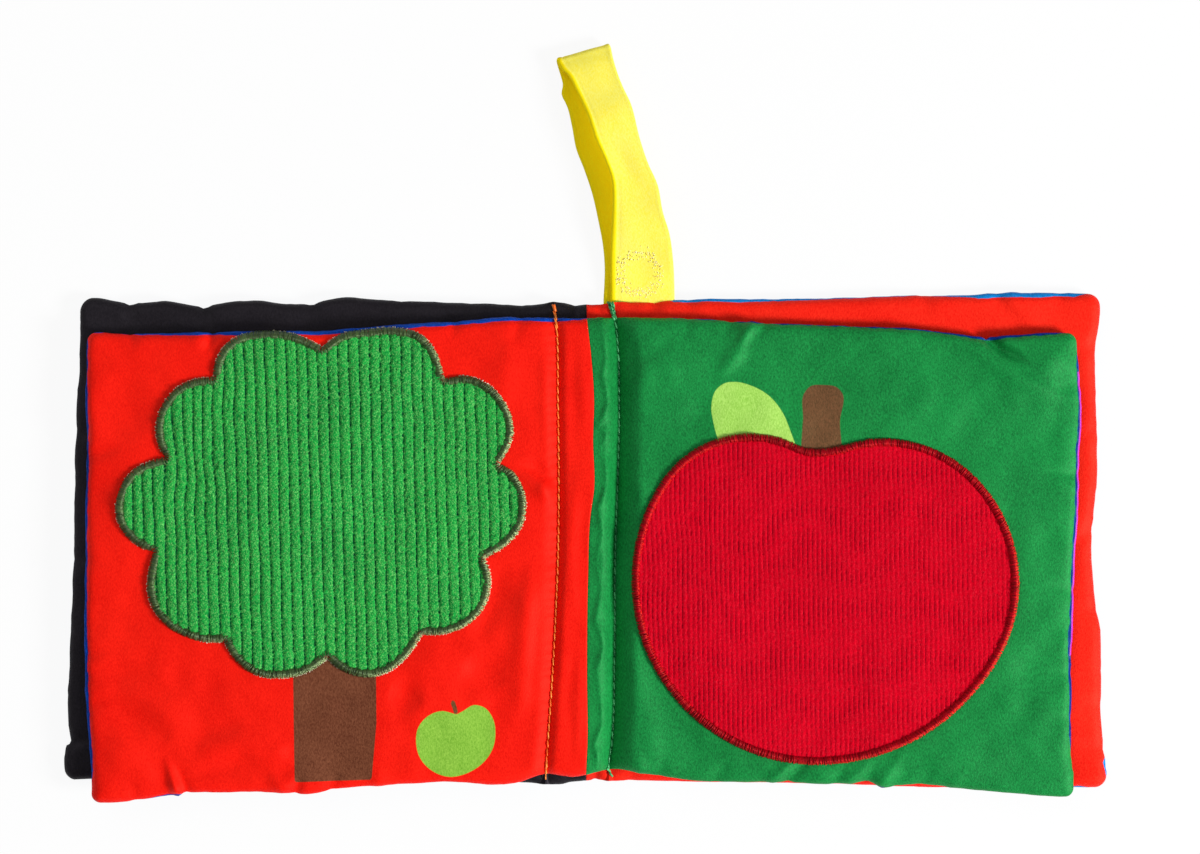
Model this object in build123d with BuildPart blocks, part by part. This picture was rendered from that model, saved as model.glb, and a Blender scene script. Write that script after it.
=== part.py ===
# Padded cloth activity book, lying open and face up.
# Two double panels are stacked and sewn together along two stitch lines, which leave a padded
# spine strip between them. The lower panel is the cover, the upper one is the pair of pages.
# Each panel is a cloth bag: a front and a back cloth that meet in a seam half way up the rolled
# edge, filled with batting. The batting is squeezed to nothing at the stitch lines.
# X runs to the right, Y towards the head of the book, Z up out of the page.
# The origin is on the resting face, under the middle of the spine strip.

from build123d import *
import os
from math import cos, radians, sin, sqrt, tan

os.makedirs("parts", exist_ok=True)

# Cloth, batting and the stack
cloth = 0.5
cover_thickness = 5.5
page_thickness = 5.5
rest_gap = 0.3
edge_roll = 2.5

# Spine strip, between the two stitch lines
spine_width = 18.6
stitch_gap = 0.3
pinch_angle = 45.0
pinch_roll = 4.4
cover_strip_roll = 3.5
page_strip_roll = 10.5

# Cover panel, each leaf measured out from its stitch line
cover_left_head_width = 145.0
cover_left_tail_width = 148.5
cover_right_head_width = 149.0
cover_right_tail_width = 150.0
cover_head = 72.6
cover_tail = 73.2
cover_head_rise = 2.2
cover_waist_drop = 5.5
cover_waist_draw = 3.8
cover_corner_radius = 4.5

# Page panel, whose leaves splay down towards their fore edges
page_width = 141.4
page_head = 68.5
page_tail = 70.5
page_head_drop = 4.8
page_tail_drop = 8.6
page_corner_radius = 4.5

# Tree crown, a scalloped patch of wide corduroy on the left page
crown_offset = 70.3
crown_height_on_page = 11.9
crown_lobes = 10
crown_cusp_half_width = 54.0
crown_cusp_half_height = 47.5
crown_lobe_rise = 8.8
crown_wale = 3.175

# Apple, a patch of fine corduroy on the right page. Each half of its outline is a chain of
# arcs, given as radius and turn, from the dip for the stalk over the shoulder to the base.
apple_offset = 61.5
apple_dip_y = 28.4
apple_base_shift = 1.7
apple_height = 96.6
apple_left_arcs = ((12.6, -26.4), (32.4, 83.1), (55.3, 55.7))
apple_right_arcs = ((32.4, -17.1), (39.0, 58.2), (45.8, 76.6))
apple_wale = 1.47

# Both patches
patch_base = 0.8
wale_height = 0.4
wale_flank = 0.28
patch_snip = 6.0
border_width = 2.4
border_height = 1.4
border_slope = 30.0

# Folded strap, sewn into the head seam of the right cover
strap_width = 20.0
strap_thickness = 1.0
strap_reach = 78.5
strap_lean = 13.0
strap_seat = 9.4
strap_run_per_rise = 3.0
strap_tail_length = 6.5
strap_arch_height = 11.0
strap_fold_height = 5.6

# Levels and lines that follow from the sizes above
hinge_x = spine_width / 2
cover_top = cover_thickness
page_bottom = cover_top + rest_gap
page_top = page_bottom + page_thickness
long_way = 4 * (cover_head + cover_tail)
far_out = hinge_x + cover_left_head_width + cover_right_tail_width
# A flat this share of a round's radius touches the round in its middle.
flat_share = 2 - sqrt(2)

cover_left_x = -hinge_x - cover_left_head_width
cover_left_tail_x = -hinge_x - cover_left_tail_width
cover_right_x = hinge_x + cover_right_head_width
cover_right_tail_x = hinge_x + cover_right_tail_width
cover_edge_lean = (cover_right_tail_x - cover_right_x) / (cover_head + cover_tail)
cover_waist_x = cover_right_x + cover_edge_lean * (cover_head + cover_waist_drop) - cover_waist_draw
page_edge_x = hinge_x + page_width


def cover_plan():
    """Outline of the open cover. Its right fore edge is drawn in by the stuffing."""
    head = cover_head + cover_head_rise
    with BuildSketch() as plan:
        with BuildLine():
            Polyline(
                (cover_right_x, head),
                (hinge_x, cover_head),
                (-hinge_x, cover_head),
                (cover_left_x, head),
                (cover_left_tail_x, -cover_tail),
                (cover_right_tail_x, -cover_tail),
            )
            Polyline(
                (cover_right_tail_x, -cover_tail),
                (cover_waist_x, -cover_waist_drop),
                (cover_right_x, head),
            )
        make_face()
    return plan.sketch


def page_plan():
    """Outline of the open pages, which hang lower at both fore edges."""
    with BuildSketch() as plan:
        with BuildLine():
            Polyline(
                (page_edge_x, page_head - page_head_drop),
                (hinge_x, page_head),
                (-hinge_x, page_head),
                (-page_edge_x, page_head - page_head_drop),
                (-page_edge_x, -page_tail - page_tail_drop),
                (-hinge_x, -page_tail),
                (hinge_x, -page_tail),
                (page_edge_x, -page_tail - page_tail_drop),
                close=True,
            )
        make_face()
    return plan.sketch


def fore_corners(plan):
    """The four corners of an open panel, at the ends of its fore edges."""
    left_to_right = plan.vertices().sort_by(Axis.X)
    right_side = left_to_right.filter_by_position(Axis.X, hinge_x + cloth, far_out)
    by_height = right_side.sort_by(Axis.Y)
    return [left_to_right[0], left_to_right[1], by_height[0], by_height[-1]]


def pillow(outline, corner_radius, bottom, thickness):
    """The whole panel, with rolled edges. Flats stand for the rounds of its corners."""
    with BuildPart() as form:
        with BuildSketch(Plane.XY.offset(bottom)) as plan:
            add(outline)
            chamfer(fore_corners(plan), corner_radius * flat_share)
        extrude(amount=thickness)
        levels = form.edges().group_by(Axis.Z)
        fillet(levels[0] + levels[-1], edge_roll)
    return form.part


def filling(outline, corner_radius, bottom, thickness):
    """What fills the panel, one cloth inside it. Flats stand for its hidden rounds."""
    with BuildPart() as form:
        with BuildSketch(Plane.XY.offset(bottom + cloth)) as plan:
            add(outline)
            offset(amount=-cloth, kind=Kind.INTERSECTION)
            chamfer(fore_corners(plan), corner_radius * flat_share)
        extrude(amount=thickness - 2 * cloth)
        levels = form.edges().group_by(Axis.Z)
        chamfer(levels[0] + levels[-1], (edge_roll - cloth) * flat_share)
    return form.part


def pinch_points(side, seam_level, crest_level, roll):
    """Tip, flank and crest of the taper beside the right stitch line, away from it by side."""
    way_up = 1 if crest_level > seam_level else -1
    full = abs(crest_level - seam_level)
    rise = full - roll * (1 - cos(radians(pinch_angle)))
    run = rise / tan(radians(pinch_angle))
    tip = (hinge_x + side * stitch_gap, seam_level)
    flank = (tip[0] + side * run, seam_level + way_up * rise)
    crest = (flank[0] + side * roll * sin(radians(pinch_angle)), crest_level)
    return tip, flank, crest


def mirrored(points):
    """The same points beside the left stitch line."""
    return [(-x, z) for x, z in points]


def leaf_section(side, seam_level, crest_level, inset):
    """Cross-section of a leaf, which comes to a wedge at its stitch line."""
    points = pinch_points(1, seam_level, crest_level, pinch_roll)
    tip, flank, crest = points if side > 0 else mirrored(points)
    slope = (flank[0] - tip[0], flank[1] - tip[1])
    with BuildPart() as tool:
        with BuildSketch(Plane.XZ):
            with BuildLine():
                Line(tip, flank)
                TangentArc(flank, crest, tangent=slope)
                Polyline(crest, (side * far_out, crest_level), (side * far_out, seam_level), tip)
            make_face()
            if inset:
                offset(amount=-inset, kind=Kind.INTERSECTION)
        extrude(amount=long_way, both=True)
    return tool.part


def cover_strip_section(inset):
    """Cross-section of the cover's spine strip, flat where it rests."""
    right = pinch_points(-1, cover_top, 0, cover_strip_roll)
    left = mirrored(right)
    with BuildPart() as tool:
        with BuildSketch(Plane.XZ):
            with BuildLine():
                Line(right[0], right[1])
                TangentArc(
                    right[1],
                    right[2],
                    tangent=(right[1][0] - right[0][0], right[1][1] - right[0][1]),
                )
                Line(right[2], left[2])
                TangentArc(left[2], left[1], tangent=(-1, 0))
                Polyline(left[1], left[0], right[0])
            make_face()
            if inset:
                offset(amount=-inset, kind=Kind.INTERSECTION)
        extrude(amount=long_way, both=True)
    return tool.part


def page_strip_section(inset):
    """Cross-section of the pages' spine strip, one arc between two flanks."""
    tip_x = hinge_x - stitch_gap
    slope = radians(pinch_angle)
    run = tip_x - page_strip_roll * sin(slope)
    rise = run * tan(slope)
    crown = page_bottom + rise + page_strip_roll * (1 - cos(slope))
    with BuildPart() as tool:
        with BuildSketch(Plane.XZ):
            with BuildLine():
                Line((tip_x, page_bottom), (tip_x - run, page_bottom + rise))
                ThreePointArc(
                    (tip_x - run, page_bottom + rise),
                    (0, crown),
                    (run - tip_x, page_bottom + rise),
                )
                Polyline(
                    (run - tip_x, page_bottom + rise), (-tip_x, page_bottom), (tip_x, page_bottom)
                )
            make_face()
            if inset:
                offset(amount=-inset, kind=Kind.INTERSECTION)
        extrude(amount=long_way, both=True)
    return tool.part


def crest_half(side, seam_level, crest_level):
    """The half of a leaf beyond its edge seam, which runs down to the wedge at the stitches."""
    middle = (seam_level + crest_level) / 2
    run = abs(middle - seam_level) / tan(radians(pinch_angle / 2))
    tip_x = hinge_x + stitch_gap
    beyond = 2 * crest_level - seam_level
    with BuildPart() as tool:
        with BuildSketch(Plane.XZ):
            with BuildLine():
                Polyline(
                    (side * tip_x, seam_level),
                    (side * (tip_x + run), middle),
                    (side * far_out, middle),
                    (side * far_out, beyond),
                    (side * hinge_x, beyond),
                    (side * hinge_x, seam_level),
                    close=True,
                )
            make_face()
        extrude(amount=long_way, both=True)
    return tool.part


def strip_crest_half(seam_level, crest_level):
    """The same for the spine strip, with a wedge at both of its sides."""
    middle = (seam_level + crest_level) / 2
    run = abs(middle - seam_level) / tan(radians(pinch_angle / 2))
    tip_x = hinge_x - stitch_gap
    beyond = 2 * crest_level - seam_level
    with BuildPart() as tool:
        with BuildSketch(Plane.XZ):
            with BuildLine():
                Polyline(
                    (-tip_x, seam_level),
                    (run - tip_x, middle),
                    (tip_x - run, middle),
                    (tip_x, seam_level),
                    (hinge_x, seam_level),
                    (hinge_x, beyond),
                    (-hinge_x, beyond),
                    (-hinge_x, seam_level),
                    close=True,
                )
            make_face()
        extrude(amount=long_way, both=True)
    return tool.part


def save(piece, name):
    piece.part.label = name
    export_step(piece.part, f"parts/{name}.step")


def save_panel(forms, sections, half, names, pocket=None):
    """Makes the crest cloth, the seam cloth and the batting of one third of a panel."""
    whole, inside = forms
    outer_section, inner_section = sections
    crest_name, seam_name, batting_name = names
    with BuildPart() as batting:
        add(inside)
        add(inner_section, mode=Mode.INTERSECT)
        if pocket:
            add(pocket, mode=Mode.SUBTRACT)
    with BuildPart() as shell:
        add(whole)
        add(outer_section, mode=Mode.INTERSECT)
        add(inner_section.intersect(inside), mode=Mode.SUBTRACT)
        if pocket:
            add(pocket, mode=Mode.SUBTRACT)
    with BuildPart() as crest_cloth:
        add(shell.part)
        add(half, mode=Mode.INTERSECT)
    with BuildPart() as seam_cloth:
        add(shell.part)
        add(half, mode=Mode.SUBTRACT)
    save(crest_cloth, crest_name)
    save(seam_cloth, seam_name)
    save(batting, batting_name)


# The strap's side view, drawn along its own length: u runs out from the head seam, z up.
strap_seam_y = cover_head + cover_head_rise * strap_seat / cover_right_head_width
strap_plane = Plane(
    origin=(hinge_x + strap_seat, strap_seam_y, 0),
    x_dir=(-sin(radians(strap_lean)), cos(radians(strap_lean)), 0),
    z_dir=(cos(radians(strap_lean)), sin(radians(strap_lean)), 0),
)
seam_z = cover_thickness / 2
tail_low = seam_z - strap_thickness
tail_high = seam_z + strap_thickness
strap_out = 2 * strap_thickness
fold_start = strap_reach - strap_fold_height / 2
fold_turn = (strap_reach, strap_fold_height / 2)

with BuildPart() as hanging_loop:
    with BuildSketch(strap_plane) as side_view:
        with BuildLine():
            Polyline(
                (strap_out, tail_high),
                (-strap_tail_length, tail_high),
                (-strap_tail_length, tail_low),
                (strap_out, tail_low),
                (strap_out + strap_run_per_rise * tail_low, 0),
                (fold_start, 0),
            )
            ThreePointArc((fold_start, 0), fold_turn, (fold_start, strap_fold_height))
            ThreePointArc(
                (fold_start, strap_fold_height),
                (strap_reach / 2, strap_arch_height),
                (strap_out, tail_high),
            )
        make_face()
        with BuildLine():
            inner_fold = strap_fold_height - strap_thickness
            mouth = strap_out + strap_run_per_rise * tail_low + strap_thickness
            Line((mouth, strap_thickness), (fold_start, strap_thickness))
            ThreePointArc(
                (fold_start, strap_thickness),
                (strap_reach - strap_thickness, strap_fold_height / 2),
                (fold_start, inner_fold),
            )
            ThreePointArc(
                (fold_start, inner_fold),
                (strap_reach / 2, strap_arch_height - strap_thickness),
                (mouth, tail_high),
            )
            Line((mouth, tail_high), (mouth, strap_thickness))
        make_face(mode=Mode.SUBTRACT)
    extrude(amount=strap_width / 2, both=True)
    with BuildSketch(Plane.XY) as stitch_side:
        with Locations((0, strap_seam_y)):
            Rectangle(
                2 * (hinge_x + cover_thickness),
                2 * strap_tail_length + strap_width,
                align=(Align.CENTER, Align.MAX),
            )
    extrude(amount=cover_thickness, mode=Mode.SUBTRACT)
save(hanging_loop, "hanging_loop")

# The cover: its crest is the outer cloth, which rests on the table.
cover_forms = (
    pillow(cover_plan(), cover_corner_radius, 0, cover_thickness),
    filling(cover_plan(), cover_corner_radius, 0, cover_thickness),
)
save_panel(
    cover_forms,
    (cover_strip_section(0), cover_strip_section(cloth)),
    strip_crest_half(cover_top, 0),
    ("cover_spine_outer_cloth", "cover_spine_inner_cloth", "cover_spine_batting"),
)
for side, leaf, pocket in ((-1, "left", None), (1, "right", hanging_loop.part)):
    save_panel(
        cover_forms,
        (leaf_section(side, cover_top, 0, 0), leaf_section(side, cover_top, 0, cloth)),
        crest_half(side, cover_top, 0),
        (f"cover_{leaf}_outer_cloth", f"cover_{leaf}_inner_cloth", f"cover_{leaf}_batting"),
        pocket,
    )

# The pages: their crest is the front cloth, which carries the pictures.
page_forms = (
    pillow(page_plan(), page_corner_radius, page_bottom, page_thickness),
    filling(page_plan(), page_corner_radius, page_bottom, page_thickness),
)
save_panel(
    page_forms,
    (page_strip_section(0), page_strip_section(cloth)),
    strip_crest_half(page_bottom, page_top),
    ("page_spine_front_cloth", "page_spine_back_cloth", "page_spine_batting"),
)
for side, leaf in ((-1, "left"), (1, "right")):
    save_panel(
        page_forms,
        (
            leaf_section(side, page_bottom, page_top, 0),
            leaf_section(side, page_bottom, page_top, cloth),
        ),
        crest_half(side, page_bottom, page_top),
        (f"page_{leaf}_front_cloth", f"page_{leaf}_back_cloth", f"page_{leaf}_batting"),
    )


def crown_plan():
    """Scalloped outline: the cusps stand on an ellipse, and a lobe swells out between each two."""
    step = radians(360 / crown_lobes)
    centre = Vector(-hinge_x - crown_offset, crown_height_on_page)
    with BuildSketch() as plan:
        with BuildLine():
            for lobe in range(crown_lobes):
                start = radians(90) + lobe * step
                cusps = [
                    centre
                    + Vector(crown_cusp_half_width * cos(turn), crown_cusp_half_height * sin(turn))
                    for turn in (start, start + step)
                ]
                apex = centre + Vector(
                    (crown_cusp_half_width + crown_lobe_rise) * cos(start + step / 2),
                    (crown_cusp_half_height + crown_lobe_rise) * sin(start + step / 2),
                )
                ThreePointArc(cusps[0], apex, cusps[1])
        make_face()
    return plan.sketch


def apple_plan():
    """Apple outline: two halves of smoothly joined arcs, from the stalk's dip to the base."""
    dip = (hinge_x + apple_offset, apple_dip_y)
    base = (dip[0] + apple_base_shift, dip[1] - apple_height)
    with BuildSketch() as plan:
        with BuildLine():
            for side, arcs in ((-1, apple_left_arcs), (1, apple_right_arcs)):
                end, heading = dip, (side, 0)
                for radius, turn in arcs:
                    arc = JernArc(end, heading, radius, -side * turn)
                    end, heading = arc @ 1, arc % 1
                TangentArc(end, base, tangent=heading)
        make_face()
    return plan.sketch


def snipped(plan, inset, snip):
    """The outline drawn in by the inset, as straight snips: the patch's edge under its border."""
    with BuildSketch() as inner:
        add(plan)
        offset(amount=-inset, kind=Kind.INTERSECTION)
    corners = []
    for edge in inner.face().outer_wire().order_edges():
        count = max(1, round(edge.length / snip))
        corners += [edge @ (number / count) for number in range(count)]
    with BuildSketch() as cut:
        with BuildLine():
            Polyline(*corners, close=True)
        make_face()
    return cut.sketch


def save_patch(plan, wale, name):
    """A corduroy patch inside a raised satin-stitch border, both lying on the page."""
    box = plan.bounding_box()
    count = int(box.size.X / wale) + 1
    first = box.center().X - count * wale / 2
    groove = page_top + patch_base
    ridge = groove + wale_height
    with BuildPart() as border:
        with BuildSketch(Plane.XY.offset(page_top)):
            add(plan)
            offset(amount=-border_width, kind=Kind.INTERSECTION, mode=Mode.SUBTRACT)
        extrude(amount=border_height, taper=border_slope)
    with BuildPart() as patch:
        with BuildSketch(Plane.XZ):
            with BuildLine():
                for number in range(count):
                    left = first + number * wale
                    Polyline(
                        (left, groove),
                        (left + wale_flank * wale, ridge),
                        (left + (1 - wale_flank) * wale, ridge),
                        (left + wale, groove),
                    )
                Polyline(
                    (first, groove),
                    (first, page_top),
                    (first + count * wale, page_top),
                    (first + count * wale, groove),
                )
            make_face()
        extrude(amount=long_way, both=True)
        with BuildSketch(Plane.XY.offset(page_bottom)):
            add(snipped(plan, border_width, patch_snip))
        extrude(amount=2 * page_thickness, mode=Mode.INTERSECT)
    save(border, f"{name}_border")
    save(patch, f"{name}_patch")


save_patch(crown_plan(), crown_wale, "tree_crown")
save_patch(apple_plan(), apple_wale, "apple")
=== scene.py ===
# %% [markdown]
# # A padded cloth book, lying open
# The book is two flat bags of satin cloth filled with batting, a cover below and a pair of
# pages above. Two lines of stitching hold the bags together and leave a padded spine between
# them. The left page carries a tree with a crown of wide corduroy, the right page an apple of
# fine corduroy, and a folded yellow strap hangs from the head seam.
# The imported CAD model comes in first. It fixes where every piece is and what it moves with.

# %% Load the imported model
import bmesh
import bpy
import numpy as np
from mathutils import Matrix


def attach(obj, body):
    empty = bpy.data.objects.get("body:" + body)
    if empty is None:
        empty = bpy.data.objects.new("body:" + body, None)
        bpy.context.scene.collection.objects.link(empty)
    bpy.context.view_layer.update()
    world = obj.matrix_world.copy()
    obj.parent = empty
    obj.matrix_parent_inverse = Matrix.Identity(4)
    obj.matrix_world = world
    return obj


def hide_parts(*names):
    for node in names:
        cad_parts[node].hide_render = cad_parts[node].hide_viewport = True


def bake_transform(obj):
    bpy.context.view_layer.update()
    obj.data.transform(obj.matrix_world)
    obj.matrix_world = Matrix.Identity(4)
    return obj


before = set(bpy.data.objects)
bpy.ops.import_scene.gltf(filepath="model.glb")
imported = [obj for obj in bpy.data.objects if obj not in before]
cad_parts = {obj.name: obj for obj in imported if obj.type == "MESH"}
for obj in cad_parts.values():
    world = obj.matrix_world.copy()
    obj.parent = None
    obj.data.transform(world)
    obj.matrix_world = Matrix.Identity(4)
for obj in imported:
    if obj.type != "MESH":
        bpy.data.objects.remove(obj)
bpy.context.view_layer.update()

# %% [markdown]
# ## The camera comes first
# The book was looked at from straight above, from a metre and a half away. Everything is
# placed on the table by what that camera sees, so the camera is settled before the cloth.
# A point that stands higher is nearer to the lens and looks further out, and the helper below
# takes that into account: it gives the place on the book of a point of the picture.

# %% Camera and the way from the picture to the table
picture_width = 1200
dots_per_metre = 3270.0
picture_middle = np.array([600.0, 427.0])
book_origin = np.array([584.0, 542.0])
camera_height = 1.5
camera_axis = (picture_middle - book_origin) / dots_per_metre * [1, -1]

camera_data = bpy.data.cameras.new("camera")
camera_data.sensor_width = 36.0
camera_data.lens = camera_data.sensor_width * camera_height / (picture_width / dots_per_metre)
camera = bpy.data.objects.new("camera", camera_data)
camera.location = (camera_axis[0], camera_axis[1], camera_height)
bpy.context.scene.collection.objects.link(camera)
bpy.context.scene.camera = camera


def on_book(dots, height):
    """Places on the book, in metres, of dots of the picture that lie at a height."""
    flat = (np.array(dots, float) - book_origin) / dots_per_metre * [1, -1]
    return camera_axis + (flat - camera_axis) * (1 - height / camera_height)


print("lens", round(camera_data.lens, 1), "mm, above", camera_axis.round(4))

# %% [markdown]
# ## Curves, distances and soft waves
# Cloth has no straight edges, so every outline is a smooth curve through a few places read
# off the book. Three kinds of tool do most of the work: curves through knots, distances from
# a line or an outline, and sums of slow random waves for the unevenness of the stuffing.
# Blender's unit is the metre, so a length in millimetres is written as a number times mm.

# %% Curves through a few places
dice = np.random.default_rng(11)
mm = 0.001


def flowing(knots, at):
    """A smooth curve through the knots, read at the places asked for."""
    x, y = knots[:, 0], knots[:, 1]
    slope = np.gradient(y, x)
    i = np.clip(np.searchsorted(x, at) - 1, 0, len(x) - 2)
    h = x[i + 1] - x[i]
    t = np.clip((at - x[i]) / h, 0, 1)
    start = (2 * t**3 - 3 * t**2 + 1) * y[i] + (t**3 - 2 * t**2 + t) * h * slope[i]
    return start + (3 * t**2 - 2 * t**3) * y[i + 1] + (t**3 - t**2) * h * slope[i + 1]


def through(points, step):
    """Evenly spaced places along a smooth curve through the points."""
    points = np.array(points, float)
    way = np.r_[0, np.cumsum(np.hypot(*np.diff(points, axis=0).T))]
    at = np.linspace(0, way[-1], max(2, int(way[-1] / step) + 1))
    return np.stack([flowing(np.c_[way, points[:, k]], at) for k in (0, 1)], 1)


print("a curve of 2 m in steps of 0.1:", len(through([(0, 0), (1, 0), (2, 0)], 0.1)), "points")


# %% Distances from a line and from an outline
def from_line(points, line):
    """Distance of each point from an open line, and how far along the line it is, 0 to 1."""
    nearest, along = np.full(len(points), 9.0), np.zeros(len(points))
    for k, (p, q) in enumerate(zip(line[:-1], line[1:])):
        d = q - p
        t = np.clip(((points - p) @ d) / (d @ d), 0, 1)
        gap = np.hypot(*(points - p - t[:, None] * d).T)
        closer = gap < nearest
        nearest[closer], along[closer] = gap[closer], (k + t[closer]) / (len(line) - 1)
    return nearest, along


def depth_inside(points, outline):
    """How far each point lies inside a closed outline, and negative outside it."""
    nearest, inside = np.full(len(points), 9.0), np.zeros(len(points), bool)
    for p, q in zip(outline, np.roll(outline, -1, 0)):
        d = q - p
        t = np.clip(((points - p) @ d) / (d @ d + 1e-18), 0, 1)
        nearest = np.minimum(nearest, ((points - p - t[:, None] * d) ** 2).sum(1))
        level = (p[1] > points[:, 1]) != (q[1] > points[:, 1])
        meets = p[0] + (points[:, 1] - p[1]) / (d[1] + 1e-18) * d[0]
        inside ^= level & (points[:, 0] < meets)
    return np.sqrt(nearest) * np.where(inside, 1, -1)


unit_square = np.array([(0.0, 0.0), (1.0, 0.0), (1.0, 1.0), (0.0, 1.0)])
print("depth in a square:", depth_inside(np.array([[0.4, 0.5], [1.2, 0.5]]), unit_square).round(2))


# %% Slow random waves
def waves(points, length, seed, count=24):
    """Soft random unevenness of about one unit, with waves of about that length."""
    roll = np.random.default_rng(seed)
    turn, phase = roll.uniform(0, 2 * np.pi, (2, count))
    pitch = 2 * np.pi / (length * roll.uniform(0.7, 1.6, count))
    ways = np.stack([np.cos(turn), np.sin(turn)]) * pitch
    return np.sin(points @ ways + phase).sum(1) * np.sqrt(2 / count)


print("waves 1 cm apart:", waves(np.array([[0.0, 0.0], [0.01, 0.0]]), 0.02, 1).round(2))

# %% [markdown]
# ## Outlines of the four half panels
# Each bag is cut in two where its cloth changes colour, along the middle of the spine. The
# two halves share that edge exactly, and each half bends with its own leaf. A half panel has
# four edges: the colour join, the fore edge, the head and the tail. The stitch line runs
# through it, and the mesh has a column exactly there so that the pinch is crisp.

# %% The colour join and the stitch lines
cover_rim_height, page_rim_height = 2.9 * mm, 8.4 * mm
seam_height = 5.65 * mm

# Places are dots of the picture, from the left and from the top.
join_line = [
    (586, 290), (587, 318), (591, 355), (594, 400), (593, 440), (594, 490), (590.5, 515),
    (588, 577), (587, 680), (587.5, 740), (586, 775), (586, 800),
]
left_stitches = [
    (554, 290), (554, 304), (556, 320), (558, 400), (558, 560), (554, 650), (549.5, 720),
    (546, 770), (545, 800),
]
right_stitches = [
    (610, 290), (613, 309), (615, 321), (618, 351), (619, 400), (615, 570), (614.5, 650),
    (612, 740), (609, 770), (610, 800),
]
print("stitch lines of", len(left_stitches), "and", len(right_stitches), "knots")

# %% Edges of the cover
cover_edges = {
    "join": join_line,
    "head": [
        (64, 301), (80, 301), (92, 298.5), (110, 300), (130, 303), (168, 302), (205, 306),
        (228, 302), (250, 301), (312, 303), (330, 299), (400, 301), (470, 303), (545, 303.5),
        (553, 302), (562, 303), (575, 305), (600, 304), (614, 302), (640, 303), (665, 301),
        (690, 299.5), (760, 299), (850, 297.5), (925, 295.5), (960, 295.5), (1000, 292.8),
        (1040, 293), (1080, 293.4), (1104, 295.5),
    ],
    "tail": [
        (60, 779), (75, 779.5), (90, 779), (300, 778), (500, 781), (530, 783), (545, 784),
        (565, 784), (575, 782), (585, 780.6), (600, 779.3), (612, 780), (640, 780.6),
        (800, 783), (1000, 788), (1083, 787), (1095, 787), (1110, 786),
    ],
    "left": [
        (79, 290), (80, 340), (76, 430), (74, 530), (72, 600), (70, 650), (68.5, 725),
        (69.5, 742), (65, 752), (64, 766), (65, 790),
    ],
    "right": [
        (1101, 290), (1100, 312), (1096, 340), (1096, 400), (1097, 480), (1093, 520),
        (1092, 560), (1095, 600), (1100, 630), (1101, 700), (1102, 735), (1105, 755),
        (1106, 772), (1105, 795),
    ],
}
print("cover:", {name: len(dots) for name, dots in cover_edges.items()})

# %% Edges of the pages
page_edges = {
    "join": join_line,
    "head": [
        (84, 334), (97, 333), (130, 334), (215, 332), (270, 331), (335, 330), (375, 326.5),
        (460, 321), (515, 317), (552, 318), (583, 318.5), (600, 317.5), (650, 318),
        (690, 318.5), (745, 322), (800, 324), (850, 326), (925, 330), (975, 336),
        (988, 337), (1020, 334.5), (1065, 333), (1080, 334),
    ],
    "tail": [
        (84, 803), (100, 803), (130, 801), (175, 794), (186, 793), (220, 792.5), (260, 792),
        (280, 792.5), (300, 794.5), (340, 788.5), (380, 785.5), (440, 782), (520, 782), (545, 774),
        (575, 777), (585, 775), (600, 771), (613, 769), (640, 773), (690, 780), (785, 782),
        (850, 783.5), (868, 781.5), (884, 787), (900, 785), (930, 784.5), (960, 788.5),
        (1000, 792), (1050, 796.5), (1080, 797),
    ],
    "left": [
        (87, 320), (87, 350), (86, 390), (87, 450), (85.5, 510), (85, 570), (84.5, 640),
        (86, 700), (88, 730), (91.5, 780), (91.5, 810),
    ],
    "right": [
        (1077, 320), (1077, 345), (1079.5, 375), (1081.5, 408), (1080, 440), (1078, 510),
        (1074.5, 570), (1073, 610), (1071.5, 650), (1071.5, 700), (1071, 750), (1073, 775),
        (1073, 810),
    ],
}
corner_round = {"cover": 3.5 * mm, "pages": 2.8 * mm}
print("pages:", {name: len(dots) for name, dots in page_edges.items()})


# %% The edges in metres
def edge_lines(edges, height):
    """The edges as knots in metres: head and tail by x, the others by y."""
    lines = {name: on_book(dots, height) for name, dots in edges.items()}
    lines["left_stitches"] = on_book(left_stitches, seam_height)
    lines["right_stitches"] = on_book(right_stitches, seam_height)
    for name, line in lines.items():
        by_x = name in ("head", "tail")
        line = line if by_x else line[:, ::-1]
        lines[name] = line[np.argsort(line[:, 0])]
    return lines


panel_lines = {
    "cover": edge_lines(cover_edges, cover_rim_height),
    "pages": edge_lines(page_edges, page_rim_height),
}
# The colour join and the stitch lines are the same in both panels, so that they meet.
panel_lines["cover"]["join"] = panel_lines["pages"]["join"]
print("head of the pages at the left stitches:", panel_lines["pages"]["head"][8])
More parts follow.
